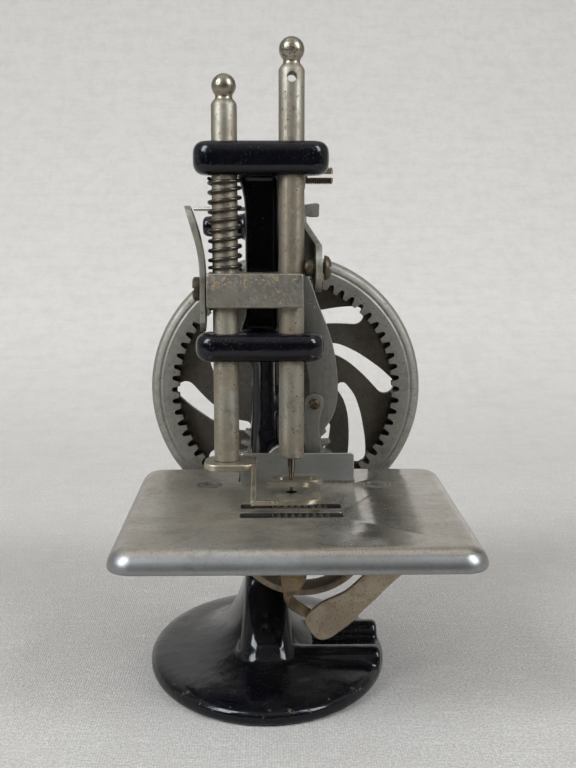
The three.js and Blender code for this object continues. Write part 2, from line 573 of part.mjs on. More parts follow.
// ---------------------------------------------------------------- presser lifter and spring
// cam end below its pivot, finger strip above
function lifterLever() {
  const cam = [];
  for (let angle = -95; angle <= -5; angle += 10) {
    cam.push(polar(LIFTER, 11.4 - 2.0 * Math.max((angle + 90) / 90, 0), angle));
  }
  // outline in y, z
  const side = plate('yz', [
    ...cam, [5.6, 104.6], [4.8, 108.5], [4.2, 112], [3.6, 115], [4.0, 119], [3.9, 122.4],
    [3.0, 124.9], [0, 126.0], [-3.0, 124.9], [-3.9, 122.4], [-4.0, 119], [-3.4, 115],
    [-3.6, 112], [-4.2, 106], [-4.0, 100], [-3.4, 95.4],
  ], [-24, -10]);
  // outline in x, z, leaning out to -X at the top
  const face = plate('xz', [
    [-18.0, 90], [-16.6, 90], [-16.6, 109], [-17.1, 114], [-18.2, 119], [-19.4, 123],
    [-20.8, 127], [-22.4, 127], [-21.2, 123], [-19.8, 118.6], [-18.6, 114], [-18.0, 109],
  ], [-16, 16]);
  return cut(side.intersect(face), cylinder('x', LIFTER, 1.65, [-26, -10], 16));
}
add('lifter_lever', FINISH.nickel, lifterLever());
add('lifter_screw', FINISH.brownScrew, cut(
  turn('x', LIFTER, [
    [0, -20.0], [2.7, -20.0], [3.2, -19.6], [3.2, -18.3], [1.5, -18.3], [1.5, -16.25],
    [1.25, -16.25], [1.25, -14.95], [0, -14.95],
  ], 16),
  box([-22, -19.5], [-5, 5], [LIFTER[1] - 0.4, LIFTER[1] + 0.4])));

const SPRING = {
  bottom: 109.15, radius: 4.1, wireRadius: 0.48, turns: 10.5,
  endPart: 0.09, endRise: 1.0,  // each closed end: share of the wire, and rise
  openRise: 21.9,
};

class SpringPath extends THREE.Curve {
  getPoint(t, target = new THREE.Vector3()) {
    const { bottom, radius, turns, endPart, endRise, openRise } = SPRING;
    const angle = t * turns * 2 * Math.PI;
    const lower = Math.min(1, t / endPart);
    const open = THREE.MathUtils.clamp((t - endPart) / (1 - 2 * endPart), 0, 1);
    const upper = Math.max(0, (t - (1 - endPart)) / endPart);
    const z = bottom + endRise * lower + openRise * open + endRise * upper;
    return target.set(PRESSER_X + radius * Math.cos(angle), radius * Math.sin(angle), z);
  }
}

function presserSpring() {
  const wire = new THREE.Shape(toVectors(arc([0, 0], SPRING.wireRadius, 5)));
  return fromGeometry(new THREE.ExtrudeGeometry(wire, {
    steps: 105, bevelEnabled: false, extrudePath: new SpringPath(),
  }));
}
add('presser_spring', FINISH.nickelWire, presserSpring());

// ---------------------------------------------------------------- thread tension and guide
const TENSION_BORE_R = 2.55;

add('tension_stud', FINISH.roughSteel, cut(
  turn('x', TENSION, [
    [0, -2.2], [1.95, -2.2], [1.95, 3.3], [2.4, 3.3], [2.4, 17.6], [2.1, 18.0], [0, 18.0],
  ], 16),
  box([11, 20], [5, 20], [TENSION[1] - 0.55, TENSION[1] + 0.55])));

// ring on the tension stud; the profile starts and ends on its bore
function tensionRing(startX, profile, endX) {
  const start = [TENSION_BORE_R, startX];
  return turn('x', TENSION, [start, ...profile, [TENSION_BORE_R, endX], start], 20);
}
add('tension_disc_inner', FINISH.brightNickel, tensionRing(3.4,
  [[4.0, 3.4], [6.0, 3.9], [6.3, 4.4], [5.9, 4.5], [4.0, 4.0]], 4.0));
add('tension_disc_outer', FINISH.brightNickel, tensionRing(4.9,
  [[4.0, 4.9], [5.9, 4.6], [6.3, 4.7], [6.0, 5.2], [4.0, 5.5]], 5.5));
add('tension_spring', FINISH.smoothNickel, tensionRing(5.6, [[4.0, 5.6], [3.1, 7.4]], 7.4));

function tensionNut() {
  const body = tensionRing(7.6, [[3.6, 7.6], [3.9, 7.9], [3.9, 10.0], [3.5, 10.4]], 10.4);
  const flutes = arc(TENSION, 4.1, 12).map(centre => cylinder('x', centre, 0.4, [7, 11], 6));
  return cut(body, ...flutes);
}
add('tension_nut', FINISH.steel, tensionNut());

// guide strip on the back of the arm
add('thread_guide', FINISH.dullSteel, cut(
  plate('xz', roundedRect([-3.4, 15.2], [122.9, 126.8], 0.9, 3), [29.5, 30.5], 0.15),
  cylinder('y', GUIDE_SCREW, 1.15, [28, 32], 14)));
add('guide_screw', FINISH.screw, cut(
  turn('y', GUIDE_SCREW, [
    [0, 25.4], [1.0, 25.4], [1.0, 30.6], [2.1, 30.6], [2.1, 31.2], [1.5, 31.6], [0, 31.7],
  ], 14),
  box([-4, 2], [31.2, 33], [124.6, 125.2])));
// wire standing out from the left of the arm
add('thread_wire', FINISH.nickelWire, turn('x', THREAD_WIRE, [
  [0, -20.4], [0.45, -20.4], [0.58, -20.1], [0.58, -3.4], [0, -3.4],
], 12));

// ---------------------------------------------------------------- feed
const FEED_SCREWS = [[-6.6, -18.7], [25.2, -18.7]];  // x, y
const feedScrewHoles = spanZ => FEED_SCREWS.map(centre => cylinder('z', centre, 1.1, spanZ, 12));

// row of nine saw teeth along X
function feedTeeth(spanY) {
  const outline = [[0.5, 43.6], [15.6, 43.6]];
  for (let i = 8; i >= 0; i--) {
    const x = 0.9 + i * 1.8;
    outline.push([x + 0.15, 48.15]);
    if (i > 0) outline.push([x - 1.0, 47.1]);
  }
  return plate('xz', outline, spanY);
}

add('feed_dog', FINISH.steel, cut(
  join(
    feedTeeth([-16.2, -13.1]), feedTeeth([-24.8, -21.7]),
    box([0.5, 15.6], [-24.8, -13.1], [42.3, 44.6]),
    box([-8.5, 27.0], [-20.6, -16.8], [42.3, 44.3])),
  ...feedScrewHoles([41, 46])));

// half-round sheet carrier slung under the dog
function feedCarrier() {
  const centre = [9.2, 42.2];
  const [x, z] = centre;
  const band = [
    ...arc(centre, 19.6, 28, 180, 360), ...arc(centre, 17.8, 28, 180, 360).reverse(),
  ];
  const tab = spanX => box(spanX, [-21.5, -4.6], [41.0, z]);
  return cut(
    join(plate('xz', band, [-12.6, -4.6]), tab([x - 19.5, x - 13.4]), tab([x + 13.4, x + 19.5])),
    ...feedScrewHoles([40, 46]));
}
add('feed_carrier', FINISH.brown, feedCarrier());

FEED_SCREWS.forEach((centre, i) => {
  add(i ? 'feed_screw_right' : 'feed_screw_left', FINISH.roughScrew, turn('z', centre, [
    [0, 39.6], [1.7, 39.7], [2.0, 40.1], [2.0, 40.9], [1.02, 40.9], [1.02, 44.2], [0, 44.2],
  ], 12));
});

// ---------------------------------------------------------------- looper and rocker under the bed
const BRACKET_TOP = BED_UNDER - 0.02;

// bearing cheek: half round below the shaft, straight up to the bracket
function cheek([x, z], top, spanY) {
  const outline = [...arc([x, z], 3.6, 12, 180, 360), [x + 3.6, top], [x - 3.6, top]];
  return plate('xz', outline, spanY);
}

function shaft(centre, frontY, backY) {
  return turn('y', centre, [
    [0, frontY], [1.3, frontY], [SHAFT_R, frontY + 0.4], [SHAFT_R, backY - 0.3],
    [1.3, backY], [0, backY],
  ], 24);
}
const hubBore = (centre, spanY) => cylinder('y', centre, HUB_BORE_R, spanY, 24);

add('looper_bracket', FINISH.brown, cut(
  join(cheek(LOOPER, 45.8, [-11.4, -6.4]), box([-3.5, 16], [-12, -5.6], [45.2, BRACKET_TOP])),
  cylinder('y', LOOPER, BEARING_R, [-13, -4], 24)));
add('looper_shaft', FINISH.screw, shaft(LOOPER, -23.2, -1.2));
add('looper', FINISH.brightNickel, cut(
  plate('xz', [
    ...arc(LOOPER, 3.2, 12, 150, 410),
    [8.3, 38.0], [7.2, 39.6], [4.6, 41.4], [4.9, 42.5], [2.4, 43.1], [0.2, 42.0],
    [-0.5, 40.0], [0.4, 37.8], [2.2, 36.6],
  ], [-3.5, -1.7], 0.2),
  hubBore(LOOPER, [-5, 0])));
add('looper_arm', FINISH.brown, cut(
  plate('xz', [
    ...arc(LOOPER, 3.4, 12, 10, 200),
    [3.4, 31.6], [4.0, 29.6], [4.1, 26.0], [5.1, 24.2], [9.8, 19.4], [11.6, 19.3],
    [12.1, 20.9], [11.2, 22.4], [6.8, 26.4], [8.4, 29.0], [9.9, 32.4],
  ], [-22.6, -21.2], 0.15),
  hubBore(LOOPER, [-24, -19])));

add('rocker_bracket', FINISH.brown, cut(
  join(
    box([32.5, 41.5], [-21.2, 3.2], [45.4, BRACKET_TOP]),
    cheek(ROCKER, 46, [-21.2, -19.6]), cheek(ROCKER, 46, [1.6, 3.2])),
  cylinder('y', ROCKER, BEARING_R, [-24, 6], 24)));
add('rocker_shaft', FINISH.screw, shaft(ROCKER, -26.4, 15.5));
// rear arm, reaching to the drive rod's lower end
add('rocker_arm', FINISH.brown, cut(
  plate('xz', link(ROCKER, 3.4, ROD_END, 2.6, 8), [13.9, 15.1], 0.15),
  hubBore(ROCKER, [12, 17])));

// broad plate lever in front, with a pin at its lower left end
add('looper_drive_lever', FINISH.brown, cut(
  join(
    plate('xz', [
      [39.6, 36.2], [40.6, 39.6], [39.0, 42.2], [36.2, 42.8], [33.4, 41.4], [31.0, 39.2],
      [27.8, 35.8], [24.1, 32.4], [19.9, 28.6], [16.8, 27.0], [13.5, 25.4], [10.1, 22.2],
      [9.4, 20.3], [10.4, 18.2], [12.2, 16.0], [13.8, 15.4], [15.8, 15.9], [18.4, 17.7],
      [21.5, 20.2], [24.3, 23.2], [27.6, 26.4], [31.7, 30.6], [36.0, 34.2],
    ], [-25.8, -24.4], 0.3),
    cylinder('y', [11.9, 20.9], 1.0, [-24.6, -23.0], 12)),
  hubBore(ROCKER, [-28, -22])));

export default group;
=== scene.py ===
"""A small hand-cranked sewing machine on a linen sheet.

It stands on z = 0 and faces -Y. The needle bar and presser bar are upright at y = 0, the
needle to the right (+X). The hand wheel turns behind the frame, on an axis along Y.
Pieces are modelled in millimetres in the CAD's frame and scaled to metres at the end.
"""
import bpy
import bmesh
import json
import math
import numpy as np
from mathutils import Matrix, Vector

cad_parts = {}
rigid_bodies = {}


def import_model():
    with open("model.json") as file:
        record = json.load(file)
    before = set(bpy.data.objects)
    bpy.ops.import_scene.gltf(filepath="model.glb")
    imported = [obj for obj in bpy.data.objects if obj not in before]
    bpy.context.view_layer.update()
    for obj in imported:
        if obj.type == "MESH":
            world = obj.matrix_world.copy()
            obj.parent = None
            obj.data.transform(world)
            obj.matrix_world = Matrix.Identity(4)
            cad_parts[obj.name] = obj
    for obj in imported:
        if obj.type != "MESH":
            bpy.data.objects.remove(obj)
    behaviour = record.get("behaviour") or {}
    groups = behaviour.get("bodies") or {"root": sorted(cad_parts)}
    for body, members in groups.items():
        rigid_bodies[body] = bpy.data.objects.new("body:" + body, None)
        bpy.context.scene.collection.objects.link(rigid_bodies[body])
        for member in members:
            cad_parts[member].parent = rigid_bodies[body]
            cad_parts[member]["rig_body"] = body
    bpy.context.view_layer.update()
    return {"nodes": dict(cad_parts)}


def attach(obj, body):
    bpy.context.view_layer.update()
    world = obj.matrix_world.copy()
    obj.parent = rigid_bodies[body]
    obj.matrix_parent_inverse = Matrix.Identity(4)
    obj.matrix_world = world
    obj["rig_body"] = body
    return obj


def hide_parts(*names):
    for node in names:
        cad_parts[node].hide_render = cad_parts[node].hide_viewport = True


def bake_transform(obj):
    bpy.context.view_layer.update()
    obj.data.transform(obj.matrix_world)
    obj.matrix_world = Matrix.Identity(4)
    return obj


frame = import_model()
NODES = frame["nodes"]
RIDES_ON = {node.name: node["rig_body"] for node in NODES.values()}
scene = bpy.context.scene


def polar(center, radius, degrees):
    angle = math.radians(degrees)
    return (center[0] + radius * math.cos(angle), center[1] + radius * math.sin(angle))


# ---------------------------------------------------------------- driving dimensions, mm
NEEDLE_X, PRESSER_X = 6.4, -11.3
BAR_RADIUS = 3.42
BED_SCREWS = [(-16.6, 8.2), (30.8, 8.2)]  # x, y

# axes along Y, as x, z
WHEEL = (5.4, 71.35)
PINION = (WHEEL[0], WHEEL[1] - 19.8)
CRANK = polar(WHEEL, 31, 249)
GUIDE_SCREW = (-1.4, 124.9)
ROD_TOP, ROD_FOOT = (13.3, 70.4), (13.9, 39)
LOOPER = (NEEDLE_X, 34.0)
ROCKER = (37.0, 39.0)

# axes along X, as y, z
LEVER = (23.0, 120.3)
STUD = (0, 109.6)
LIFTER = (0, 104.0)
TENSION = (13.2, 134.2)
THREAD_PIN = (12, 125.2)

# the needle lever runs from its pivot to the stud, and carries the pitman pin on the way
LEVER_TILT = math.degrees(math.atan2(STUD[1] - LEVER[1], -LEVER[0]))
LEVER_REACH = math.hypot(STUD[1] - LEVER[1], LEVER[0])
PITMAN_PIN = polar(LEVER, 9.5, LEVER_TILT)


# ---------------------------------------------------------------- mesh tools
def add_object(data, name):
    ob = bpy.data.objects.new(name, data)
    scene.collection.objects.link(ob)
    return ob


def mesh_object(name, verts, faces):
    mesh = bpy.data.meshes.new(name)
    mesh.from_pydata([tuple(map(float, vert)) for vert in verts], [], faces)
    mesh.update()
    return tidy(add_object(mesh, name))


def tidy(ob, weld=1e-3, thin=1e-4):
    bm = bmesh.new()
    bm.from_mesh(ob.data)
    bmesh.ops.remove_doubles(bm, verts=bm.verts, dist=weld)
    bmesh.ops.dissolve_degenerate(bm, edges=bm.edges, dist=thin)
    bmesh.ops.recalc_face_normals(bm, faces=bm.faces)
    bm.to_mesh(ob.data)
    bm.free()
    return ob


def evaluated_mesh(ob):
    depsgraph = bpy.context.evaluated_depsgraph_get()
    depsgraph.update()
    return bpy.data.meshes.new_from_object(ob.evaluated_get(depsgraph))


def modify(ob, kind, **settings):
    """Applies one modifier."""
    modifier = ob.modifiers.new("step", kind)
    for key, value in settings.items():
        setattr(modifier, key, value)
    mesh = evaluated_mesh(ob)
    ob.modifiers.clear()
    ob.data = mesh
    return ob


def boolean(ob, *tools, operation="DIFFERENCE"):
    for tool in tools:
        modify(ob, "BOOLEAN", operation=operation, object=tool, solver="EXACT")
        bpy.data.objects.remove(tool)
    return ob


def union(ob, *tools):
    return boolean(ob, *tools, operation="UNION")


def bevel(ob, width, segments, angle):
    return modify(ob, "BEVEL", width=width, segments=segments, limit_method="ANGLE",
                  angle_limit=math.radians(angle), use_clamp_overlap=True)


def remesh(ob, size):
    return modify(ob, "REMESH", mode="VOXEL", voxel_size=size, adaptivity=0.0)


def merged(*parts):
    """Overlapping or separate closed shells in one mesh."""
    bm = bmesh.new()
    for part in parts:
        bm.from_mesh(part.data)
        bpy.data.objects.remove(part)
    mesh = bpy.data.meshes.new("merged")
    bm.to_mesh(mesh)
    bm.free()
    return add_object(mesh, "merged")


def shade(ob, angle):
    """Smooth faces, with edges sharper than the angle kept hard."""
    bm = bmesh.new()
    bm.from_mesh(ob.data)
    limit = math.radians(angle)
    for face in bm.faces:
        face.smooth = True
    for edge in bm.edges:
        edge.smooth = len(edge.link_faces) == 2 and edge.calc_face_angle(0.0) < limit
    bm.to_mesh(ob.data)
    bm.free()


# ---------------------------------------------------------------- outlines
def fillet(points, radius, steps=3, closed=False):
    """Replaces each corner with a short quadratic curve."""
    corners = [np.array(point, float) for point in points]
    count, out = len(corners), []
    for i, corner in enumerate(corners):
        if not closed and i in (0, count - 1):
            out.append(tuple(corner))
            continue
        back, ahead = corners[i - 1] - corner, corners[(i + 1) % count] - corner
        back_len, ahead_len = np.linalg.norm(back), np.linalg.norm(ahead)
        if (back_len < 1e-6 or ahead_len < 1e-6
                or back @ ahead / back_len / ahead_len < -0.992):
            out.append(tuple(corner))
            continue
        trim = min(radius, 0.42 * back_len, 0.42 * ahead_len)
        start, end = corner + back / back_len * trim, corner + ahead / ahead_len * trim
        for k in range(steps + 1):
            part = k / steps
            out.append(tuple((1 - part) ** 2 * start + 2 * part * (1 - part) * corner
                             + part * part * end))
    return out


def between(at, low, high, first, second):
    return (high - at) / (high - low) * first + (at - low) / (high - low) * second


def spline(points, steps=6, closed=True):
    """Centripetal Catmull-Rom curve, which keeps tight corners from overshooting."""
    rows = np.array(points, float)
    count, out = len(rows), []
    for i in range(count if closed else count - 1):
        quad = [rows[(i - 1) % count] if closed or i > 0 else 2 * rows[0] - rows[1],
                rows[i], rows[(i + 1) % count],
                rows[(i + 2) % count] if closed or i + 2 < count else 2 * rows[-1] - rows[-2]]
        knots = [0.0]
        for j in range(3):
            knots.append(knots[-1] + max(np.linalg.norm(quad[j + 1] - quad[j]), 1e-6) ** 0.5)
        for k in range(steps):
            at = knots[1] + (knots[2] - knots[1]) * k / steps
            thirds = [between(at, knots[j], knots[j + 1], quad[j], quad[j + 1])
                      for j in range(3)]
            halves = [between(at, knots[j], knots[j + 2], thirds[j], thirds[j + 1])
                      for j in range(2)]
            out.append(tuple(between(at, knots[1], knots[2], *halves)))
    if not closed:
        out.append(tuple(rows[-1]))
    return out


def circle(across, up, radius, steps=24, start=0.0, end=360.0):
    """A full circle, or an arc with both its ends."""
    count = steps if end - start >= 360 else steps + 1
    return [polar((across, up), radius, start + (end - start) * i / steps)
            for i in range(count)]


def rounded_box(left, right, low, high, radius, steps=8):
    centers = [(right - radius, low + radius), (right - radius, high - radius),
               (left + radius, high - radius), (left + radius, low + radius)]
    return [point for k, center in enumerate(centers)
            for point in circle(*center, radius, steps, 90 * k - 90, 90 * k)]


def link_outline(first, first_radius, second, second_radius, steps):
    """Two round ends joined by their outer tangents."""
    across, up = second[0] - first[0], second[1] - first[1]
    heading = math.degrees(math.atan2(up, across))
    spread = math.degrees(math.acos((first_radius - second_radius) / math.hypot(across, up)))
    return (circle(*second, second_radius, steps, heading - spread, heading + spread)
            + circle(*first, first_radius, steps, heading + spread, heading + 360 - spread))


def strip_outline(stations, steps):
    """A round-ended strip along stations of (across, up, width)."""
    left, right = [], []
    for i, (across, up, width) in enumerate(stations):
        before, after = stations[max(0, i - 1)], stations[min(len(stations) - 1, i + 1)]
        heading, half = math.atan2(after[1] - before[1], after[0] - before[0]), width / 2
        left.append((across - half * math.sin(heading), up + half * math.cos(heading)))
        right.append((across + half * math.sin(heading), up - half * math.cos(heading)))

    def cap(end, inner):
        across, up, width = stations[end]
        heading = math.degrees(math.atan2(up - stations[inner][1],
                                          across - stations[inner][0]))
        return circle(across, up, width / 2, steps, heading - 90, heading + 90)[1:-1]
    return right + cap(-1, -2) + left[::-1] + cap(0, 1)


def signed_area(points):
    return 0.5 * sum(points[i - 1][0] * points[i][1] - points[i][0] * points[i - 1][1]
                     for i in range(len(points)))


# ---------------------------------------------------------------- solids
# for each plane, which of (across, up, through) gives x, y and z
PLANES = {"xy": (0, 1, 2), "xz": (0, 2, 1), "yz": (2, 0, 1)}


def plate(plane, outline, low, high, edge=0.0, steps=3, hole=None):
    """A flat outline given a thickness, with edges rounded to the radius edge."""
    curve = bpy.data.curves.new("plate", "CURVE")
    curve.dimensions, curve.fill_mode = "2D", "BOTH"
    curve.extrude = max((high - low) / 2 - edge, 1e-4)
    curve.bevel_depth, curve.bevel_resolution = edge, steps - 1
    curve.offset = -edge
    for points in [outline, hole] if hole else [outline]:
        if (signed_area(points) > 0) == (points is hole):
            points = points[::-1]
        loop = curve.splines.new("POLY")
        loop.points.add(len(points) - 1)
        rows = np.array([[across, up, 0, 1] for across, up in points], float)
        loop.points.foreach_set("co", rows.ravel())
        loop.use_cyclic_u = True
    flat = add_object(curve, "plate")
    mesh = evaluated_mesh(flat)
    bpy.data.objects.remove(flat)
    middle = (low + high) / 2
    rows = [[float(source == k) for k in range(3)] + [middle * (source == 2)]
            for source in PLANES[plane]]
    mesh.transform(Matrix(rows + [[0, 0, 0, 1]]))
    return tidy(add_object(mesh, "plate"))


def plates(plane, outlines, low, high):
    return merged(*[plate(plane, outline, low, high) for outline in outlines])


def block(left, right, front, back, low, high):
    corners = [(left, front), (right, front), (right, back), (left, back)]
    return plate("xy", corners, low, high)


def lathe(axis, center, profile, around=96, corner=0.0):
    """Body of revolution. The profile is (radius, place along the axis), and ends on the
    axis or closes on itself. Its corners are rounded by the given size."""
    closed = profile[0] == profile[-1]
    if closed:
        profile = profile[:-1]
    if corner:
        profile = fillet(profile, corner, closed=closed)
    verts, rings = [], []
    for radius, along in profile:
        count = 1 if radius < 1e-6 else around
        rings.append(range(len(verts), len(verts) + count))
        for k in range(count):
            turn = 2 * math.pi * k / around
            reach = 0.0 if count == 1 else radius
            vert = [center[0] + reach * math.cos(turn), center[1] + reach * math.sin(turn)]
            vert.insert("xyz".index(axis), along)
            verts.append(vert)
    faces = []
    for ring, after in zip(rings, rings[1:] + rings[:1] if closed else rings[1:]):
        for k in range(around):
            j = k + 1
            quad = (ring[k % len(ring)], after[k % len(after)],
                    after[j % len(after)], ring[j % len(ring)])
            faces.append(tuple(dict.fromkeys(quad)))  # a triangle where a ring is one point
    return mesh_object("lathe", verts, faces)


def cylinder(axis, center, radius, low, high, around=48):
    return lathe(axis, center, [(0, low), (radius, low), (radius, high), (0, high)], around)


def skin(name, verts, size, flip_first=True):
    """Closed skin over a stack of rings of the given size."""
    faces = []
    for base in range(0, len(verts) - size, size):
        for k in range(size):
            j = (k + 1) % size
            faces.append((base + k, base + j, base + size + j, base + size + k))
    faces.append(tuple(range(size))[::-1 if flip_first else 1])
    faces.append(tuple(range(len(verts) - size, len(verts))))
    return mesh_object(name, verts, faces)


def loft(stations, around, steps):
    """Superellipse sections (z, half x, half y, centre x, centre y, exponent)."""
    verts = []
    for z, half_x, half_y, x, y, exponent in spline(stations, steps, closed=False):
        power = 2 / exponent
        for k in range(around):
            turn = 2 * math.pi * k / around
            cos, sin = math.cos(turn), math.sin(turn)
            verts.append((x + half_x * math.copysign(abs(cos) ** power, cos),
                          y + half_y * math.copysign(abs(sin) ** power, sin), z))
    return skin("loft", verts, around)


def sweep(path, sections):
    """A solid along the path; each section is a list of offsets from its path point."""
    verts = [tuple(np.array(point) + np.array(offset))
             for point, section in zip(path, sections) for offset in section]
    return skin("sweep", verts, len(sections[0]))


def wire_section(radius, sides, first, second):
    turns = [2 * math.pi * j / sides for j in range(sides)]
    return [tuple(radius * (math.cos(turn) * first + math.sin(turn) * second))
            for turn in turns]


def finish(ob, name, material, angle):
    """To metres, welded, shaded, named and given its material."""
    ob.data.transform(Matrix.Scale(0.001, 4))
    tidy(ob, 1e-7, 1e-8)
    shade(ob, angle)
    ob.name = name
    ob.data.materials.clear()
    ob.data.materials.append(material)


def piece(ob, name, node, material, angle=35):
    """Finishes a mesh and puts it in the place of a CAD node."""
    finish(ob, name, material, angle)
    ob.data.name = name
    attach(ob, RIDES_ON[node])
    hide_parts(node)
    return ob


def refined(node, name, material, width, segments=2, angle=38):
    """A CAD solid welded, with its flat faces merged and its edges softened."""
    mesh = NODES[node].data.copy()
    mesh.transform(Matrix.Scale(1000, 4))
    ob = add_object(mesh, name)
    mesh.materials.clear()
    bm = bmesh.new()
    bm.from_mesh(mesh)
    bmesh.ops.remove_doubles(bm, verts=bm.verts, dist=2e-3)
    bmesh.ops.dissolve_limit(bm, angle_limit=math.radians(1.0), verts=bm.verts,
                             edges=bm.edges)
    bmesh.ops.recalc_face_normals(bm, faces=bm.faces)
    bm.to_mesh(mesh)
    bm.free()
    for key in ("custom_normal", "normal"):
        attribute = mesh.attributes.get(key)
        if attribute:
            mesh.attributes.remove(attribute)
    bevel(ob, width, segments, angle)
    return piece(ob, name, node, material, angle)


# ---------------------------------------------------------------- shader tools
class Value:
    """A shader output; arithmetic on it adds Math nodes."""
    def __init__(self, graph, socket):
        self.graph, self.socket = graph, socket

    def math(self, operation, other=0.5):
        return self.graph.add("Math", {0: self, 1: other}, operation=operation)

    def __add__(self, other):
        return self.math("ADD", other)

    def __sub__(self, other):
        return self.math("SUBTRACT", other)

    def __mul__(self, other):
        return self.math("MULTIPLY", other)

    def __abs__(self):
        return self.math("ABSOLUTE")

    def max(self, other):
        return self.math("MAXIMUM", other)

    def ramp(self, over, to=(0.0, 1.0)):
        """Smooth step between the to values as this one runs over a range."""
        inputs = {"Value": self, "From Min": over[0], "From Max": over[1],
                  "To Min": to[0], "To Max": to[1]}
        return self.graph.add("MapRange", inputs, interpolation_type="SMOOTHSTEP")


class Graph:
    """An emptied node tree with calls for the nodes used here."""
    def __init__(self, tree, coords):
        self.tree = tree
        tree.nodes.clear()
        self.coords = self.add("TexCoord", output=coords)

    def add(self, kind, inputs={}, output=0, **settings):
        node = self.tree.nodes.new("ShaderNode" + kind)
        for key, value in settings.items():
            setattr(node, key, value)
        for key, value in inputs.items():
            socket = node.inputs[key]
            if isinstance(value, Value):
                self.tree.links.new(value.socket, socket)
            elif isinstance(value, tuple) and len(value) < len(socket.default_value):
                socket.default_value = (*value, 1.0)
            else:
                socket.default_value = value
        return Value(self, node.outputs[output])

    def axes(self, vector):
        first = self.add("SeparateXYZ", {0: vector})
        return [Value(self, socket) for socket in first.socket.node.outputs]

    def end(self, kind, shader):
        node = self.tree.nodes.new("ShaderNodeOutput" + kind)
        self.tree.links.new(shader.socket, node.inputs[0])


class Surface(Graph):
    """A material whose colour and relief are built up in layers."""
    def __init__(self, name, color):
        self.material = bpy.data.materials.new(name)
        self.material.use_nodes = True
        super().__init__(self.material.node_tree, "Object")
        self.color, self.normal = color, None

    def noise(self, scale, detail, rough, distort=0.0, stretch=None, turn=(0, 0, 0)):
        vector = self.coords
        if stretch:
            vector = self.add("Mapping", {"Vector": vector, "Scale": stretch,
                                          "Rotation": turn})
        return self.add("TexNoise", {"Vector": vector, "Scale": scale, "Detail": detail,
                                     "Roughness": rough, "Distortion": distort}, "Fac")

    def cells(self, scale):
        return self.add("TexVoronoi", {"Vector": self.coords, "Scale": scale}, "Distance")

    def wave(self, scale, distort=0.0, detail_scale=1.0, **shape):
        inputs = {"Vector": self.coords, "Scale": scale, "Distortion": distort,
                  "Detail Scale": detail_scale}
        return self.add("TexWave", inputs, "Fac", **shape)

    def paint(self, mask, color):
        """Lays a colour over those below, where the mask says."""
        self.color = self.add("Mix", {0: mask, 6: self.color, 7: color}, 2,
                              data_type="RGBA")

    def bump(self, height, depth, strength):
        """Adds relief to that below; depth is in metres."""
        inputs = {"Height": height, "Distance": depth, "Strength": strength}
        if self.normal:
            inputs["Normal"] = self.normal
        self.normal = self.add("Bump", inputs)

    def done(self, roughness, inputs):
        inputs = {"Base Color": self.color, "Normal": self.normal, "Roughness": roughness,
                  **inputs}
        self.end("Material", self.add("BsdfPrincipled", inputs))
        return self.material


def scaled(color, factor):
    return tuple(min(1, channel * factor) for channel in color)


# ---------------------------------------------------------------- materials
def metal(name, base, patina, stain, rough, wear, grain=(1, 1, 1), relief=1.0, shine=0.12,
          spots=(1700, 0.585), bars=False):
    """Aged plate. wear is the strength of (patina patches, pits, rust), grain stretches the
    brushing, shine spreads the roughness, spots is the rust's (scale, threshold)."""
    patch, pits, rust = wear
    m = Surface(name, base)
    big = m.noise(scale=95, detail=4, rough=0.6, distort=0.4)
    mid = m.noise(scale=420, detail=4, rough=0.62)
    fine = m.noise(scale=2600, detail=3, rough=0.7)
    brushed = m.noise(scale=900, detail=3, rough=0.6, stretch=grain)
    m.paint(big.ramp(over=(0.36, 0.68), to=(0, patch)), patina)
    m.paint(mid.ramp(over=(0.50, 0.74), to=(0, patch * 0.8)), scaled(patina, 0.62))
    m.paint(fine.ramp(over=(0.25, 0.75), to=(0.0, 0.30)), scaled(base, 1.35))
    m.paint(brushed.ramp(over=(0.35, 0.7), to=(0.0, 0.28)), scaled(base, 0.55))
    # rust specks gather in worn places, pits are small and dark
    worn = m.noise(scale=140, detail=3, rough=0.6, stretch=(1.1, 0.9, 1))
    worn = worn.ramp(over=(0.42, 0.66))
    speck = m.noise(scale=spots[0], detail=4, rough=0.75)
    speck = speck.ramp(over=(spots[1], spots[1] + 0.07)) * worn
    pit = (m.cells(scale=820).ramp(over=(0.24, 0.12))
           * m.noise(scale=330, detail=2, rough=0.5).ramp(over=(0.44, 0.58)))
    m.paint(speck * rust, stain)
    m.paint(pit * pits, (0.035, 0.026, 0.018))
    roughness = (big.ramp(over=(0.3, 0.75), to=(rough - shine * 0.6, rough + shine))
                 + fine.ramp(over=(0.3, 0.7), to=(-0.05, 0.07)))
    roughness = roughness + speck.max(pit) * 0.22
    metallic = (speck.max(pit) * max(rust, pits)).ramp(over=(0.0, 1.0), to=(1.0, 0.25))
    m.bump(m.noise(scale=70, detail=3, rough=0.5), depth=0.00022 * relief, strength=0.6)
    m.bump(mid, depth=0.000045 * relief, strength=0.8)
    m.bump(brushed, depth=0.000012 * relief, strength=0.8)
    m.bump((pit + speck * -0.4) * -1.0, depth=0.00006 * relief, strength=0.9)
    if bars:
        # browned between the lugs, polished on the two ball ends
        x, y, z = m.axes(m.coords)
        streaks = m.noise(scale=130, detail=4, rough=0.7, stretch=(1, 1, 0.4))
        browned = (z.ramp(over=(0.096, 0.116)) * z.ramp(over=(0.160, 0.136))
                   * streaks.ramp(over=(0.30, 0.60), to=(0.35, 1.0)))
        m.paint(browned * 0.55, (0.20, 0.155, 0.105))
        balls = z.ramp(over=(0.1612, 0.1628)).max(
            z.ramp(over=(0.1522, 0.1540)) * x.ramp(over=(-0.004, -0.006)))
        roughness = roughness - balls * 0.27
    return m.done(roughness, {"Metallic": metallic})


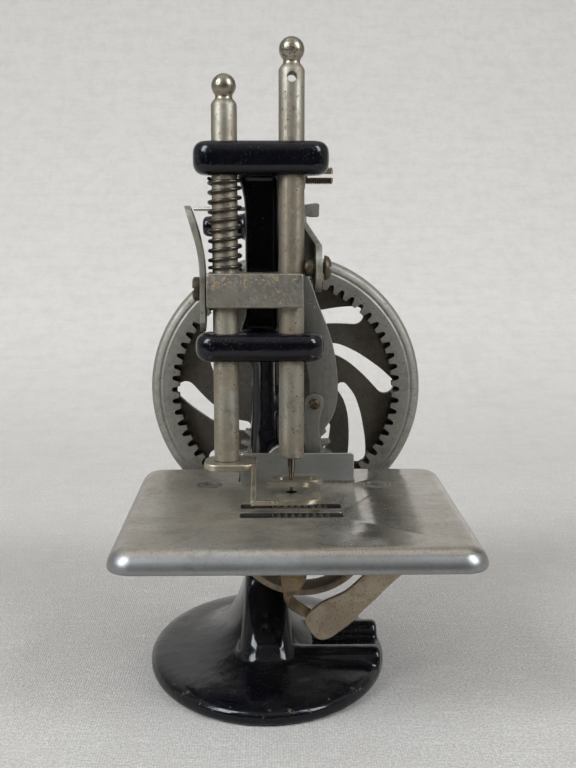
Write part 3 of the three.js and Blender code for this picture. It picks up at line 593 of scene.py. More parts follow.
def raw_steel(name, base, dark, rust, rough, light=(0.38, 0.32, 0.24)):
    """Unplated steel: a brown skin with dark specks, rust and lighter worn edges."""
    m = Surface(name, base)
    big = m.noise(scale=120, detail=4, rough=0.6, distort=0.5)
    mid = m.noise(scale=520, detail=4, rough=0.7)
    fine = m.noise(scale=1550, detail=4, rough=0.85)
    flecks = m.noise(scale=1900, detail=3, rough=0.75, stretch=(1, 1.2, 0.9))
    edge = m.add("NewGeometry", output="Pointiness").ramp(over=(0.53, 0.60))
    m.paint(big.ramp(over=(0.35, 0.68)), dark)
    m.paint(mid.ramp(over=(0.52, 0.72)) * 0.6, rust)
    m.paint(fine.ramp(over=(0.56, 0.64)) * 0.8, (0.045, 0.030, 0.018))
    m.paint(flecks.ramp(over=(0.60, 0.67)) * 0.55, light)
    m.paint(edge * 0.5, light)
    roughness = (mid.ramp(over=(0.3, 0.7), to=(rough - 0.1, rough + 0.1))
                 + fine.ramp(over=(0.4, 0.7), to=(0.0, 0.12)))
    m.bump(big, depth=0.0003, strength=0.5)
    m.bump(mid, depth=0.00005, strength=0.8)
    m.bump(fine, depth=0.00002, strength=0.8)
    return m.done(roughness, {"Metallic": mid.ramp(over=(0.4, 0.7), to=(0.85, 0.45))})


def black_japan():
    m = Surface("black_japan", (0.0016, 0.0020, 0.0048))
    big = m.noise(scale=60, detail=3, rough=0.5)
    peel = m.noise(scale=520, detail=2, rough=0.5)
    haze = m.noise(scale=210, detail=4, rough=0.65, distort=0.6)
    dust = m.noise(scale=1900, detail=3, rough=0.85).ramp(over=(0.60, 0.67))
    dusty = m.noise(scale=130, detail=4, rough=0.65).ramp(over=(0.46, 0.66))
    m.paint(big.ramp(over=(0.3, 0.7)), (0.0030, 0.0031, 0.0044))
    m.paint(dust * (dusty * 0.55), (0.10, 0.085, 0.06))
    # a dull film on upward faces
    facing = m.axes(m.add("NewGeometry", output="Normal"))[2].ramp(over=(0.25, 0.95))
    film = m.noise(scale=48, detail=5, rough=0.68, distort=1.1)
    film = facing * film.ramp(over=(0.42, 0.62))
    m.paint(film * 0.35, (0.015, 0.0145, 0.0135))
    # chips on edges, scattered over the faces, and along the rim of the base
    x, y, z = m.axes(m.coords)
    edge_chips = (m.add("NewGeometry", output="Pointiness").ramp(over=(0.555, 0.60))
                  * m.noise(scale=700, detail=4, rough=0.8).ramp(over=(0.54, 0.60)))
    face_chips = (m.noise(scale=900, detail=3, rough=0.85).ramp(over=(0.705, 0.72))
                  * m.noise(scale=90, detail=2, rough=0.5).ramp(over=(0.5, 0.6)))
    rim_chips = (abs(z - 0.0034).ramp(over=(0.0011, 0.0005))
                 * m.noise(scale=330, detail=4, rough=0.8).ramp(over=(0.625, 0.66)))
    chip = edge_chips.max(face_chips).max(rim_chips)
    m.paint(chip, (0.075, 0.055, 0.036))
    roughness = (haze.ramp(over=(0.35, 0.72), to=(0.07, 0.24))
                 + dust * 0.2 + film * 0.10 + chip * 0.4)
    # a casting seam down the front, and scratches in the haze
    seam = abs(x + 0.0019).ramp(over=(0.00045, 0.0)) * y.ramp(over=(0.0, -0.004))
    scratch = m.noise(scale=600, detail=3, rough=0.7, stretch=(1, 0.12, 1),
                      turn=(0.2, 0.3, 0.7)).ramp(over=(0.66, 0.70))
    m.bump(big, depth=0.0007, strength=0.55)
    m.bump(m.noise(scale=230, detail=2, rough=0.45), depth=0.00007, strength=0.8)
    m.bump(peel, depth=0.000012, strength=0.7)
    m.bump(seam, depth=0.00003, strength=0.6)
    m.bump(scratch * haze.ramp(over=(0.5, 0.7)), depth=-0.00001, strength=0.5)
    m.bump(dust, depth=0.00002, strength=0.6)
    m.bump(chip * -1.0, depth=0.00006, strength=0.9)
    return m.done(roughness, {"Coat Weight": 0.08, "Coat Roughness": 0.04,
                              "Specular IOR Level": 0.30})


def worn_bed():
    """Nickel sheet rubbed by cloth: streaks along X, stains, a warm blush and scratches."""
    m = Surface("bed_nickel_worn", (0.485, 0.46, 0.41))
    big = m.noise(scale=42, detail=4, rough=0.62, distort=0.7)
    streak = m.noise(scale=300, detail=5, rough=0.7, stretch=(0.5, 1.0, 1.0))
    thin_streak = m.noise(scale=1300, detail=4, rough=0.75, stretch=(0.14, 1.0, 1.0))
    blot = m.noise(scale=150, detail=5, rough=0.7, distort=0.9)
    fine = m.noise(scale=2400, detail=3, rough=0.75)
    freckle = m.noise(scale=1100, detail=4, rough=0.85)
    x, y, z = m.axes(m.coords)
    clean = (x + (big + -0.5) * 0.045).ramp(over=(0.002, 0.024))
    m.paint(big.ramp(over=(0.36, 0.66)), (0.40, 0.365, 0.30))
    m.paint(streak.ramp(over=(0.42, 0.72), to=(0.0, 0.30)), (0.33, 0.32, 0.30))
    m.paint(thin_streak.ramp(over=(0.42, 0.68), to=(0.0, 0.25)), (0.54, 0.535, 0.515))
    m.paint(blot.ramp(over=(0.50, 0.66)) * 0.60, (0.31, 0.262, 0.195))
    m.paint(freckle.ramp(over=(0.52, 0.62)) * 0.60, (0.235, 0.195, 0.15))
    # golden specks in front of the feed slots, towards their left end
    near = (abs(x + 0.004) + abs(y + 0.033)).ramp(over=(0.026, 0.002))
    gold = near * m.noise(scale=1300, detail=3, rough=0.7).ramp(over=(0.57, 0.66))
    m.paint(gold * 0.8, (0.46, 0.34, 0.14))
    # painted reflection and shade: the rolled lip is painted a dark cool grey and the upright
    # guard a cool mid grey, for how the light falls on these faces
    side = z.ramp(over=(0.0479, 0.0462))
    guard = z.ramp(over=(0.0483, 0.0490)) * y.ramp(over=(0.008, 0.0092))
    m.paint(side * 0.75, (0.215, 0.23, 0.243))
    m.paint(guard * 0.7, (0.40, 0.415, 0.405))

    # painted shade: the feed slots, the needle hole and the countersinks are coloured
    # near-black, standing in for the shade down in these recesses
    def radius(center_x, center_y):
        from_x, from_y = x - center_x, y - center_y
        return (from_x * from_x + from_y * from_y).math("SQRT")
    inside_x = abs(x - 0.00595).ramp(over=(0.01335, 0.0133))
    inside_y = abs(y - -0.01895).ramp(over=(0.00680, 0.00675))
    recess_shade = inside_x * inside_y * z.ramp(over=(0.04794, 0.04786))
    recess_shade = recess_shade.max(radius(NEEDLE_X / 1000, 0.0).ramp(over=(0.00165, 0.00150)))
    for screw_x, screw_y in BED_SCREWS:
        sink = radius(screw_x / 1000, screw_y / 1000).ramp(over=(0.0042, 0.0036))
        recess_shade = recess_shade.max(sink * 0.85)
    # painted shade in the slots, the needle hole and round the countersinks
    m.paint(recess_shade, (0.012, 0.010, 0.008))
    roughness = (big * 0.5 + streak * 0.5).ramp(over=(0.38, 0.66), to=(0.34, 0.46))
    roughness = roughness - clean * 0.20
    roughness = roughness + fine.ramp(over=(0.45, 0.75), to=(0.0, 0.10))
    roughness = roughness.max(side.max(guard) * 0.36).max(recess_shade * 0.9)
    scratch = m.noise(scale=420, detail=3, rough=0.6, stretch=(0.06, 1, 1),
                      turn=(0, 0, 0.35)).ramp(over=(0.64, 0.68))
    cross = m.noise(scale=520, detail=3, rough=0.6, stretch=(1, 0.05, 1),
                    turn=(0, 0, 0.9)).ramp(over=(0.66, 0.70))
    m.bump(m.noise(scale=34, detail=2, rough=0.4), depth=0.0006, strength=0.4)
    m.bump(m.noise(scale=300, detail=3, rough=0.55), depth=0.00002, strength=0.6)
    m.bump(thin_streak, depth=0.000006, strength=0.8)
    m.bump(scratch.max(cross) * -1, depth=0.000012, strength=0.8)
    m.bump(m.cells(scale=900).ramp(over=(0.16, 0.08)), depth=0.00002, strength=0.4)
    return m.done(roughness, {"Metallic": recess_shade.ramp(over=(0.0, 1.0), to=(0.90, 0.0))})


def dark_wood():
    m = Surface("turned_wood_dark", (0.020, 0.011, 0.007))
    grain = m.noise(scale=500, detail=5, rough=0.7, stretch=(1, 0.08, 1))
    rings = m.wave(scale=260, distort=3.0, detail_scale=1.5,
                   wave_type="RINGS", rings_direction="Y")
    worn = m.noise(scale=150, detail=4, rough=0.6).ramp(over=(0.55, 0.72))
    m.paint(grain.ramp(over=(0.3, 0.7)), (0.055, 0.028, 0.015))
    m.paint(rings * 0.3, (0.012, 0.007, 0.005))
    m.paint(worn * 0.6, (0.11, 0.062, 0.033))
    m.bump(grain, depth=0.00004, strength=0.7)
    m.bump(m.wave(scale=700, bands_direction="Y"), depth=0.00003, strength=0.4)
    return m.done(worn.ramp(over=(0, 1), to=(0.28, 0.5)),
                  {"Coat Weight": 0.3, "Coat Roughness": 0.2})


# metals: base, patina and stain colours, then the finish
NICKEL = metal("nickel_patina", (0.36, 0.348, 0.305), (0.275, 0.25, 0.19), (0.13, 0.08, 0.04),
               rough=0.44, wear=(0.75, 0.8, 0.7), grain=(1, 1, 0.25))
BAR = metal("nickel_bars", (0.315, 0.298, 0.25), (0.24, 0.19, 0.130), (0.19, 0.105, 0.06),
            rough=0.55, wear=(0.95, 1.0, 0.95), grain=(0.5, 0.5, 0.12), relief=1.6,
            spots=(1200, 0.55), bars=True)
WHEEL_RIM = metal("nickel_wheel", (0.33, 0.318, 0.285), (0.26, 0.243, 0.20),
                  (0.14, 0.09, 0.05), rough=0.52, wear=(0.7, 0.6, 0.5), shine=0.1)
# painted shade: a darker copy of the wheel's plating, for the recessed web and the teeth
WHEEL_WEB_SHADED = metal("wheel_web_painted_shade", (0.13, 0.118, 0.098), (0.095, 0.08, 0.062),
                  (0.08, 0.045, 0.026), rough=0.56, wear=(0.7, 0.7, 0.6))
DULL = metal("dull_steel", (0.285, 0.275, 0.245), (0.225, 0.20, 0.155), (0.17, 0.105, 0.045),
             rough=0.48, wear=(0.7, 0.8, 0.9), grain=(0.4, 1, 1), spots=(1200, 0.56))
BLOCK = metal("block_steel", (0.285, 0.27, 0.238), (0.215, 0.19, 0.145), (0.27, 0.17, 0.07),
              rough=0.50, wear=(0.8, 0.9, 1.0), grain=(0.4, 1, 1), spots=(950, 0.52))
LEAF = metal("leaf_steel", (0.235, 0.232, 0.212), (0.19, 0.172, 0.138), (0.14, 0.08, 0.045),
             rough=0.48, wear=(0.6, 0.5, 0.6), grain=(1, 1, 0.15))
FOOT = metal("foot_nickel", (0.43, 0.39, 0.315), (0.34, 0.285, 0.19), (0.20, 0.12, 0.05),
             rough=0.42, wear=(0.8, 0.7, 0.8), grain=(0.3, 1, 1), spots=(1200, 0.56))
SPRING = metal("spring_wire", (0.085, 0.08, 0.068), (0.06, 0.05, 0.04), (0.07, 0.042, 0.025),
               rough=0.34, wear=(0.6, 0.4, 0.5))
# painted shade: the needle is coloured dark for the shadow it hangs in
NEEDLE = metal("needle_painted_shade", (0.13, 0.105, 0.095), (0.08, 0.055, 0.045), (0.07, 0.035, 0.02),
               rough=0.27, wear=(0.6, 0.5, 0.5), grain=(0.6, 0.6, 0.1))
TEETH = metal("feed_teeth", (0.17, 0.158, 0.135), (0.10, 0.085, 0.062), (0.05, 0.03, 0.02),
              rough=0.40, wear=(0.7, 0.8, 0.7))
# raw steels: base, dark and rust colours
BROWN = raw_steel("browned_steel", (0.075, 0.058, 0.038), (0.04, 0.031, 0.022),
                  (0.10, 0.05, 0.018), rough=0.42, light=(0.13, 0.105, 0.07))
STUD_STEEL = raw_steel("stud_steel", (0.21, 0.175, 0.125), (0.13, 0.105, 0.075),
                       (0.20, 0.11, 0.045), rough=0.45, light=(0.30, 0.25, 0.18))
RAW = raw_steel("raw_steel", (0.44, 0.375, 0.285), (0.32, 0.262, 0.19), (0.28, 0.17, 0.075),
                rough=0.52)
STRAP = raw_steel("looper_strap", (0.27, 0.195, 0.105), (0.14, 0.095, 0.05),
                  (0.36, 0.20, 0.06), rough=0.40)
ENAMEL = black_japan()
BED = worn_bed()
WOOD = dark_wood()

SLOTS = {ENAMEL: "black_enamel", BED: "bed_nickel", WOOD: "turned_wood",
         NEEDLE: "needle_steel",
         **dict.fromkeys((NICKEL, BAR, WHEEL_RIM, FOOT, SPRING), "nickel_plate"),
         **dict.fromkeys((DULL, BLOCK, LEAF, STUD_STEEL, TEETH), "dull_steel"),
         **dict.fromkeys((BROWN, RAW, STRAP), "browned_steel")}


# ---------------------------------------------------------------- cast frame
# loft tables: z, half x, half y, centre x, centre y, exponent
BASE_X = -0.35
BASE = [
    (0.0, 31.4, 42.0, BASE_X, 0, 2), (0.5, 32.1, 42.7, BASE_X, 0, 2),
    (1.2, 32.4, 43.0, BASE_X, 0, 2), (2.6, 32.4, 43.0, BASE_X, 0, 2),
    (3.4, 32.0, 42.6, BASE_X, 0, 2), (4.0, 31.2, 41.8, BASE_X, 0, 2),
    (4.5, 29.4, 39.8, BASE_X, 0, 2), (4.85, 25.4, 35.2, BASE_X, 1.2, 2.02),
    (5.15, 20.6, 28.4, -0.4, 2.8, 2.05), (6.2, 15.2, 24.0, -0.8, 6.0, 2.1),
    (8.6, 10.8, 19.8, -1.2, 9.2, 2.3), (12.5, 8.0, 17.4, -1.35, 10.9, 2.6),
    (18, 5.9, 15.6, -1.4, 12.2, 2.9), (26, 4.8, 14.4, -1.35, 13.0, 3.2),
    (36, 4.6, 14.0, -1.35, 13.4, 3.3), (46.4, 4.9, 14.2, -1.4, 13.6, 3.3)]
TOE = [
    (3.5, 11.4, 10.2, -0.3, -11.9, 2.0), (4.8, 9.8, 8.8, -0.3, -11.9, 2.0),
    (6.2, 8.5, 7.8, -0.3, -11.9, 2.05), (8.2, 7.7, 7.2, -0.35, -11.4, 2.05),
    (10.5, 7.25, 7.0, -0.4, -10.5, 2.1), (13.5, 6.8, 6.8, -0.45, -8.4, 2.15),
    (17.5, 6.3, 6.3, -0.55, -4.3, 2.3), (22, 5.9, 5.8, -0.7, 1.4, 2.6),
    (28, 5.5, 5.4, -0.9, 3.4, 3.0), (38, 5.1, 5.2, -1.1, 4.6, 3.1)]
COLUMN = [
    (43, 5.3, 5.3, -0.2, 24.3, 2.7), (52, 5.2, 5.3, -0.1, 24.3, 2.7),
    (60, 4.8, 5.6, -0.3, 24.0, 2.7), (68, 4.5, 5.9, -0.4, 23.6, 2.7),
    (78, 4.4, 6.9, -0.4, 22.7, 2.9), (90, 4.6, 9.4, -0.6, 20.0, 3.4)]
# side view of the arm: y, z
ARM = [
    (5.2, 89), (6.2, 86.0), (8.6, 84.6), (12, 84.2), (15, 82.9), (17.6, 81.2), (22, 80.6),
    (26.5, 80.8), (28.9, 82), (29.4, 85), (29.4, 98), (29.4, 112), (28.8, 120), (26.6, 127.5),
    (22.6, 134), (17, 138.8), (11, 141.3), (5.4, 142.0), (5.3, 138), (5.25, 115), (5.3, 95)]
# fairings from the arm into the left ends of the two lugs: x, z
UPPER_FAIRING = [(-4, 136), (-8.6, 136), (-8.2, 133.6), (-7.2, 131.6), (-6.5, 128.4),
                 (-6.0, 124), (-4, 124)]
LOWER_FAIRING = [(-4, 90), (-8.2, 90), (-7.4, 92.8), (-6.4, 95.6), (-6.0, 98), (-4, 98)]


def lug(low, high, left, right):
    return plate("xy", rounded_box(left, right, -5.7, 6.2, 5.2, 12), low, high, 2.9, 6)


def foot_ridge(front, back, right):
    side = [(front, 3.5), (back, 3.5), (back, 6.2), (back - 1.0, 7.7), (back - 2.4, 8.3),
            (front + 2.6, 8.3), (front + 1.0, 7.5), (front, 5.6)]
    return plate("yz", side, 4, right, 1.0, 4)


def frame_shells():
    return merged(
        loft(BASE, 176, 4), loft(TOE, 96, 5), loft(COLUMN, 96, 6),
        plate("yz", spline(ARM, 5), -6.1, 3.2, 1.4, 4),
        foot_ridge(-16.2, -8.8, 30.2), foot_ridge(3.0, 9.4, 31.0),
        lug(133.8, 142.8, -19.6, 16.3), lug(84.5, 92.3, -19.5, 15.3),
        plate("xz", UPPER_FAIRING, 5.4, 12.0, 1.0, 3),
        plate("xz", LOWER_FAIRING, 5.4, 12.0, 1.0, 3),
        # bosses on the lever pivot, the wheel axle and the pinion shaft
        lathe("x", LEVER, [(0, 2.0), (4.2, 2.0), (3.9, 7.4), (0, 7.4)], 64, 0.4),
        lathe("x", LEVER, [(0, -18.5), (2.6, -18.5), (3.0, -17.2), (3.7, -5.0), (0, -5.0)],
              64, 0.5),
        lathe("y", WHEEL, [(0, 18.4), (4.7, 18.4), (4.7, 30.0), (0, 30.0)], 64, 0.4),
        lathe("y", PINION, [(0, 18.8), (5.2, 18.8), (5.2, 30.4), (0, 30.4)], 64, 0.4),
        # the shelf under the bed
        plate("xy", rounded_box(-21.5, 34.2, 3.6, 10.8, 3.2, 6), 40.5, 46.75, 0.8, 3),
        plate("xy", rounded_box(-6.2, 2.6, -0.4, 10.5, 2.2, 6), 41, 46.75, 0.3, 2))


def frame_holes():
    holes = [cylinder("z", (x, 0), 3.55, low, high, 64)
             for x in (NEEDLE_X, PRESSER_X) for low, high in ((80, 97), (130, 146))]
    holes += [cylinder("y", WHEEL, 2.55, 20, 31), cylinder("y", PINION, 2.58, 17, 32),
              cylinder("x", LEVER, 2.05, -2, 9), cylinder("x", TENSION, 2.0, -3, 5, 32),
              cylinder("x", THREAD_PIN, 0.62, -9, -3, 24),
              cylinder("y", GUIDE_SCREW, 1.05, 25, 31, 24)]
    holes += [cylinder("z", screw, 1.62, 41.5, 50, 24) for screw in BED_SCREWS]
    return merged(*holes)


def make_frame():
    ob = remesh(frame_shells(), 0.5)
    # the gap between the foot ridges, and the window behind the bed shelf
    boolean(ob, block(12.5, 40, -8.8, 3.0, 4.0, 12), block(-3.2, 16, 11.0, 18.6, 36.5, 62))
    remesh(ob, 0.5)
    modify(ob, "SMOOTH", factor=0.5, iterations=14)
    # the underside stays flat
    places = np.zeros(len(ob.data.vertices) * 3)
    ob.data.vertices.foreach_get("co", places)
    heights = places[2::3]
    heights[heights < 0.12] = 0.0
    ob.data.vertices.foreach_set("co", places)
    boolean(ob, frame_holes())
    piece(ob, "cast_frame", "frame_casting", ENAMEL, 45)


# ---------------------------------------------------------------- bed
BED_LEFT, BED_RIGHT, BED_FRONT, BED_BACK = -37.6, 51.5, -54.4, 31.0
BED_TOP, BED_CORNER = 48.0, 6.6
BED_ROLL = 4.7  # outer radius of the turned-down edge
FEED_SLOTS = ((-17.0, -12.3), (-25.6, -20.9))  # front y, back y


def edge_roll(inset, radius, low, step):
    """Quarter turn as (inset from the bed's edge, z)."""
    turns = [math.radians(degrees) for degrees in range(0, 91, step)]
    return [(inset + radius - radius * math.cos(turn), low + radius * math.sin(turn))
            for turn in turns]


def make_bed():
    lip = [(1.45, 42.9), (1.25, 42.62), (0.75, 42.5), (0.3, 42.62), (0.06, 42.95)]
    rings = (edge_roll(1.35, 3.4, 43.4, 15)[::-1] + lip
             + edge_roll(0, BED_ROLL, BED_TOP - BED_ROLL, 6) + [(5.6, BED_TOP)])
    verts = []
    for inset, z in rings:
        outline = rounded_box(BED_LEFT + inset, BED_RIGHT - inset, BED_FRONT + inset,
                              BED_BACK - inset, max(BED_CORNER - inset, 0.5), 16)
        verts += [(x, y, z) for x, y in outline]
    ob = skin("bed", verts, 4 * 17, flip_first=False)
    # notch around the column, with an upright guard in front of it
    boolean(ob, block(-8.4, 24.8, 11.2, 40, 30, 60))
    union(ob, plate("xz", rounded_box(-7.9, 24.4, 46.9, 56.7, 0.9, 6), 9.4, 10.5, 0.3, 3))
    slots = [rounded_box(-7.2, 19.1, front, back, 0.9, 5) for front, back in FEED_SLOTS]
    boolean(ob, plates("xy", slots, 45, 50), cylinder("z", (NEEDLE_X, 0), 1.4, 45, 50, 32))
    sink = [(0, 46.0), (1.75, 46.0), (1.75, 46.6), (3.25, 48.06), (3.25, 49), (0, 49)]
    for screw in BED_SCREWS:
        boolean(ob, lathe("z", screw, sink, 40))
    bevel(ob, 0.15, 2, 50)
    piece(ob, "bed_sheet", "bed_plate", BED, 24)


# ---------------------------------------------------------------- hand wheel and crank
# closed section: radius, y
WHEEL_SECTION = [
    (2.6, 36.6), (32.1, 36.6), (32.1, 32.5), (37.3, 32.35), (37.6, 32.75), (38.3, 32.6),
    (39.7, 33.0), (40.5, 34.1), (40.75, 35.8), (40.75, 38.2), (40.3, 39.6), (39.0, 40.6),
    (37.6, 41.0), (35.4, 40.4), (34.8, 38.8), (7.6, 38.8), (7.0, 41.0), (2.6, 41.0),
    (2.6, 36.6)]
TOOTH_COUNT = 60
# half of one gap between the inner teeth: radius, degrees off its middle
TOOTH_GAP = [(31.0, 2.25), (31.7, 2.05), (33.4, 1.35), (34.15, 0.95), (34.4, 0.5)]
# one curved slot in the web: radius, degrees, width
WEB_SLOT = [(30.4, 1.5, 5.6), (27.8, 7.5, 5.2), (25.2, 14.6, 4.6), (22.4, 24.5, 4.0),
            (19.6, 36, 3.6), (17.3, 44.6, 3.3)]


def make_wheel():
    ob = lathe("y", WHEEL, WHEEL_SECTION, 240, 0.35)
    gap = [(radius, -offset) for radius, offset in TOOTH_GAP] + TOOTH_GAP[::-1]
    gaps = [polar(WHEEL, radius, -90 + i * 360 // TOOTH_COUNT + offset)
            for i in range(TOOTH_COUNT) for radius, offset in gap]
    boolean(ob, plate("xz", gaps, 30, 36.58, hole=circle(*WHEEL, 30.5, 120)))
    slots = []
    for k in range(8):
        line = [(*polar(WHEEL, radius, 45 * k + degrees), width)
                for radius, degrees, width in WEB_SLOT]
        slots.append(strip_outline(spline(line, 5, closed=False), 10))
    boolean(ob, plates("xz", slots, 35, 40), cylinder("y", CRANK, 1.66, 36.9, 45, 32))
    bevel(ob, 0.16, 2, 42)
    piece(ob, "toothed_hand_wheel", "hand_wheel", WHEEL_RIM, 26)
    # painted shade: the web between rim and hub, and the teeth, get a darker copy of the rim's
    # material, standing in for the shade behind the rim
    ob.data.materials.append(WHEEL_WEB_SHADED)
    for face in ob.data.polygons:
        x, y, z = face.center * 1000
        radius = math.hypot(x - WHEEL[0], z - WHEEL[1])
        web = 7.6 < radius < 34.75 and 36.0 < y < 39.2
        teeth = 30 < radius < 34.6 and 32.65 < y < 36.7
        if web or teeth:
            face.material_index = 1


def make_wheel_screw():
    ob = lathe("y", WHEEL, [(0, 21), (2.1, 21), (2.5, 21.5), (2.5, 41.4), (4.6, 41.4),
                            (4.9, 42.0), (4.4, 43.1), (2.6, 43.8), (0, 44.0)], 64, 0.15)
    x, z = WHEEL
    boolean(ob, block(x - 6, x + 6, 42.9, 46, z - 0.5, z + 0.5))
    piece(ob, "wheel_screw", "wheel_axle_screw", DULL, 36)


def make_crank_spindle():
    ob = lathe("y", CRANK, [(0, 37.0), (1.6, 37.0), (1.6, 39.3), (2.9, 39.3), (2.9, 40.6),
                            (1.6, 40.6), (1.6, 71.0), (2.7, 71.0), (2.7, 71.8), (1.9, 72.7),
                            (0, 73.0)], 48, 0.15)
    piece(ob, "handle_spindle", "crank_spindle", DULL, 36)


def make_crank_knob():
    turned = spline([(3.6, 41.2), (4.3, 42.2), (4.2, 44.5), (3.75, 47.5), (4.15, 52),
                     (5.25, 59), (5.85, 64), (5.6, 67.6), (4.5, 69.8), (3.0, 70.6)],
                    4, closed=False)
    ob = lathe("y", CRANK, [(1.75, 41.2)] + turned + [(1.75, 70.6), (1.75, 41.2)], 72)
    # two turned grooves near the inner end
    for y in (45.6, 46.6):
        groove = [(3.6, y), (4.6, y - 0.25), (4.6, y + 0.25), (3.6, y)]
        boolean(ob, lathe("y", CRANK, groove, 72))
    piece(ob, "turned_handle", "crank_knob", WOOD, 40)


# ---------------------------------------------------------------- bars, needle, spring
def ball_profile(radius, z, start):
    return [polar((0, z), radius, degrees) for degrees in range(start, 90, 6)]


def make_needle_bar():
    axis = (NEEDLE_X, 0)
    profile = [(0, 58), (BAR_RADIUS - 0.5, 58), (BAR_RADIUS - 0.1, 58.25), (BAR_RADIUS, 58.7),
               (BAR_RADIUS, 160.7), (BAR_RADIUS - 0.15, 161.2), (2.75, 161.9), (2.3, 162.4),
               (2.2, 162.9), (2.28, 163.3)]
    ob = lathe("z", axis, profile + ball_profile(3.35, 165.95, -42) + [(0, 169.3)], 96)
    # needle socket, thread eye, clamp screw hole and stud hole
    eye = [(0, -5), (1.9, -5), (1.25, -3.0), (1.2, 5), (0, 5)]
    boolean(ob, cylinder("z", axis, 1.15, 57, 68, 32), lathe("y", (NEEDLE_X, 158.75), eye, 32),
            cylinder("y", (NEEDLE_X, 61.5), 1.2, 0, 5, 24),
            cylinder("x", STUD, 1.55, NEEDLE_X - 1, NEEDLE_X + 5, 32))
    piece(ob, "needle_bar_turned", "needle_bar", BAR, 38)


def make_presser_bar():
    profile = [(0, 54.4), (2.6, 54.4), (2.88, 54.7), (2.88, 57.3), (BAR_RADIUS, 57.3),
               (BAR_RADIUS, 151.9), (BAR_RADIUS - 0.15, 152.4), (2.8, 153.0), (2.35, 153.5),
               (2.25, 153.95), (2.3, 154.3)]
    profile += ball_profile(3.22, 156.75, -44) + [(0, 159.97)]
    piece(lathe("z", (PRESSER_X, 0), profile, 96), "presser_bar_turned", "presser_bar", BAR, 38)


def make_needle():
    ob = lathe("z", (NEEDLE_X, 0), [
        (0, 36.4), (0.12, 37.0), (0.27, 38.2), (0.45, 40.5), (0.5, 51.2), (0.72, 53.2),
        (0.98, 55.6), (1.1, 57.4), (1.1, 67.6), (0, 67.6)], 40)
    # long groove on the right side
    boolean(ob, block(NEEDLE_X + 0.36, NEEDLE_X + 2, -0.14, 0.14, 41.5, 53.0))
    piece(ob, "needle_ground", "needle", NEEDLE, 38)


def make_presser_spring():
    turns, radius, wire = 10.5, 4.1, 0.48
    low, end_rise, open_rise = 109.15, 1.0, 21.9
    end = 0.09  # share of the length wound close at each end
    steps = int(turns * 44)
    path, sections = [], []
    for i in range(steps + 1):
        part = i / steps
        turn = part * turns * 2 * math.pi
        middle = min(1, max(0, (part - end) / (1 - 2 * end)))
        z = (low + end_rise * min(1, part / end) + open_rise * middle
             + end_rise * max(0, (part - (1 - end)) / end))
        out = Vector((math.cos(turn), math.sin(turn), 0))
        along = Vector((-math.sin(turn), math.cos(turn), 0.08)).normalized()
        path.append((PRESSER_X + radius * math.cos(turn), radius * math.sin(turn), z))
        sections.append(wire_section(wire, 12, out, along.cross(out).normalized()))
    ob = sweep(path, sections)
    finish(ob, "presser_coil_spring", SPRING, 50)
    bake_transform(ob)
    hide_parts("presser_spring")


# ---------------------------------------------------------------- presser foot and lifter
def make_presser_foot():
    low, high = 50.3, 51.5
    front = (circle(9.0, -17.6, 4.9, 14, -90, 0) + circle(9.0, -6.4, 4.9, 14, 0, 75)
             + [(-4.4, -1.4), (-4.4, -22.5)])
    front_hole = (circle(8.9, -17.4, 2.9, 12, -90, 0) + circle(8.9, -6.4, 2.9, 12, 0, 90)
                  + [(-3.2, -3.5), (-3.2, -20.3)])
    rear = circle(10.9, 2.3, 4.1, 20, -90, 90) + circle(4.8, 2.3, 4.1, 20, 90, 270)
    rear_hole = circle(11.0, 1.4, 2.2, 14, -90, 90) + circle(4.7, 1.4, 2.2, 14, 90, 270)
    notch = [(-3.2, -3.6), (-3.2, 1.0), (0.4, 1.0), (0.9, -2.0), (2.4, -3.4)]
    ob = plate("xy", fillet(front, 0.5, 3, True), low, high)
    union(ob, plate("xy", rear, low, high))
    boolean(ob, *[plate("xy", hole, 48, 53) for hole in (front_hole, rear_hole, notch)])
    bevel(ob, 0.38, 3, 50)
    # the upright web along the left side, and the hub around the bar
    web = [(5.2, 57.0), (-5.8, 57.0), (-11, 55.4), (-17, 52.9), (-22.4, 51.5), (-22.4, low),
           (-4, low), (-1.6, 52), (3.2, 55.2)]
    union(ob, plate("yz", fillet(web, 1.6, 5, True), -4.5, -3.2, 0.25, 3),
          plate("xy", rounded_box(-17.4, -3.2, -6.4, 5.8, 4.2, 10), 55.1, 57.1, 0.45, 3))
    boolean(ob, cylinder("z", (PRESSER_X, 0), 2.95, 54, 59, 48))
    piece(ob, "looped_presser_foot", "presser_foot", FOOT, 36)


# side view of the lifter above its cam: y, z
LIFTER_SIDE = [
    (5.6, 104.6), (4.8, 108.5), (4.2, 112), (3.6, 115), (4.0, 119), (3.9, 122.4), (3.0, 124.9),
    (0, 126.0), (-3.0, 124.9), (-3.9, 122.4), (-4.0, 119), (-3.4, 115), (-3.6, 112),
    (-4.2, 106), (-4.0, 100), (-3.4, 95.4)]
# its bend seen from the front, right face up and left face down: x, z
LIFTER_RIGHT = [(-16.6, 90), (-16.6, 100), (-16.6, 109), (-17.1, 114), (-18.2, 119),
                (-19.4, 123), (-20.8, 127)]
LIFTER_LEFT = [(-22.3, 127), (-21.0, 123), (-19.7, 118.6), (-18.6, 114), (-18.0, 109),
               (-18.0, 100), (-18.0, 90)]


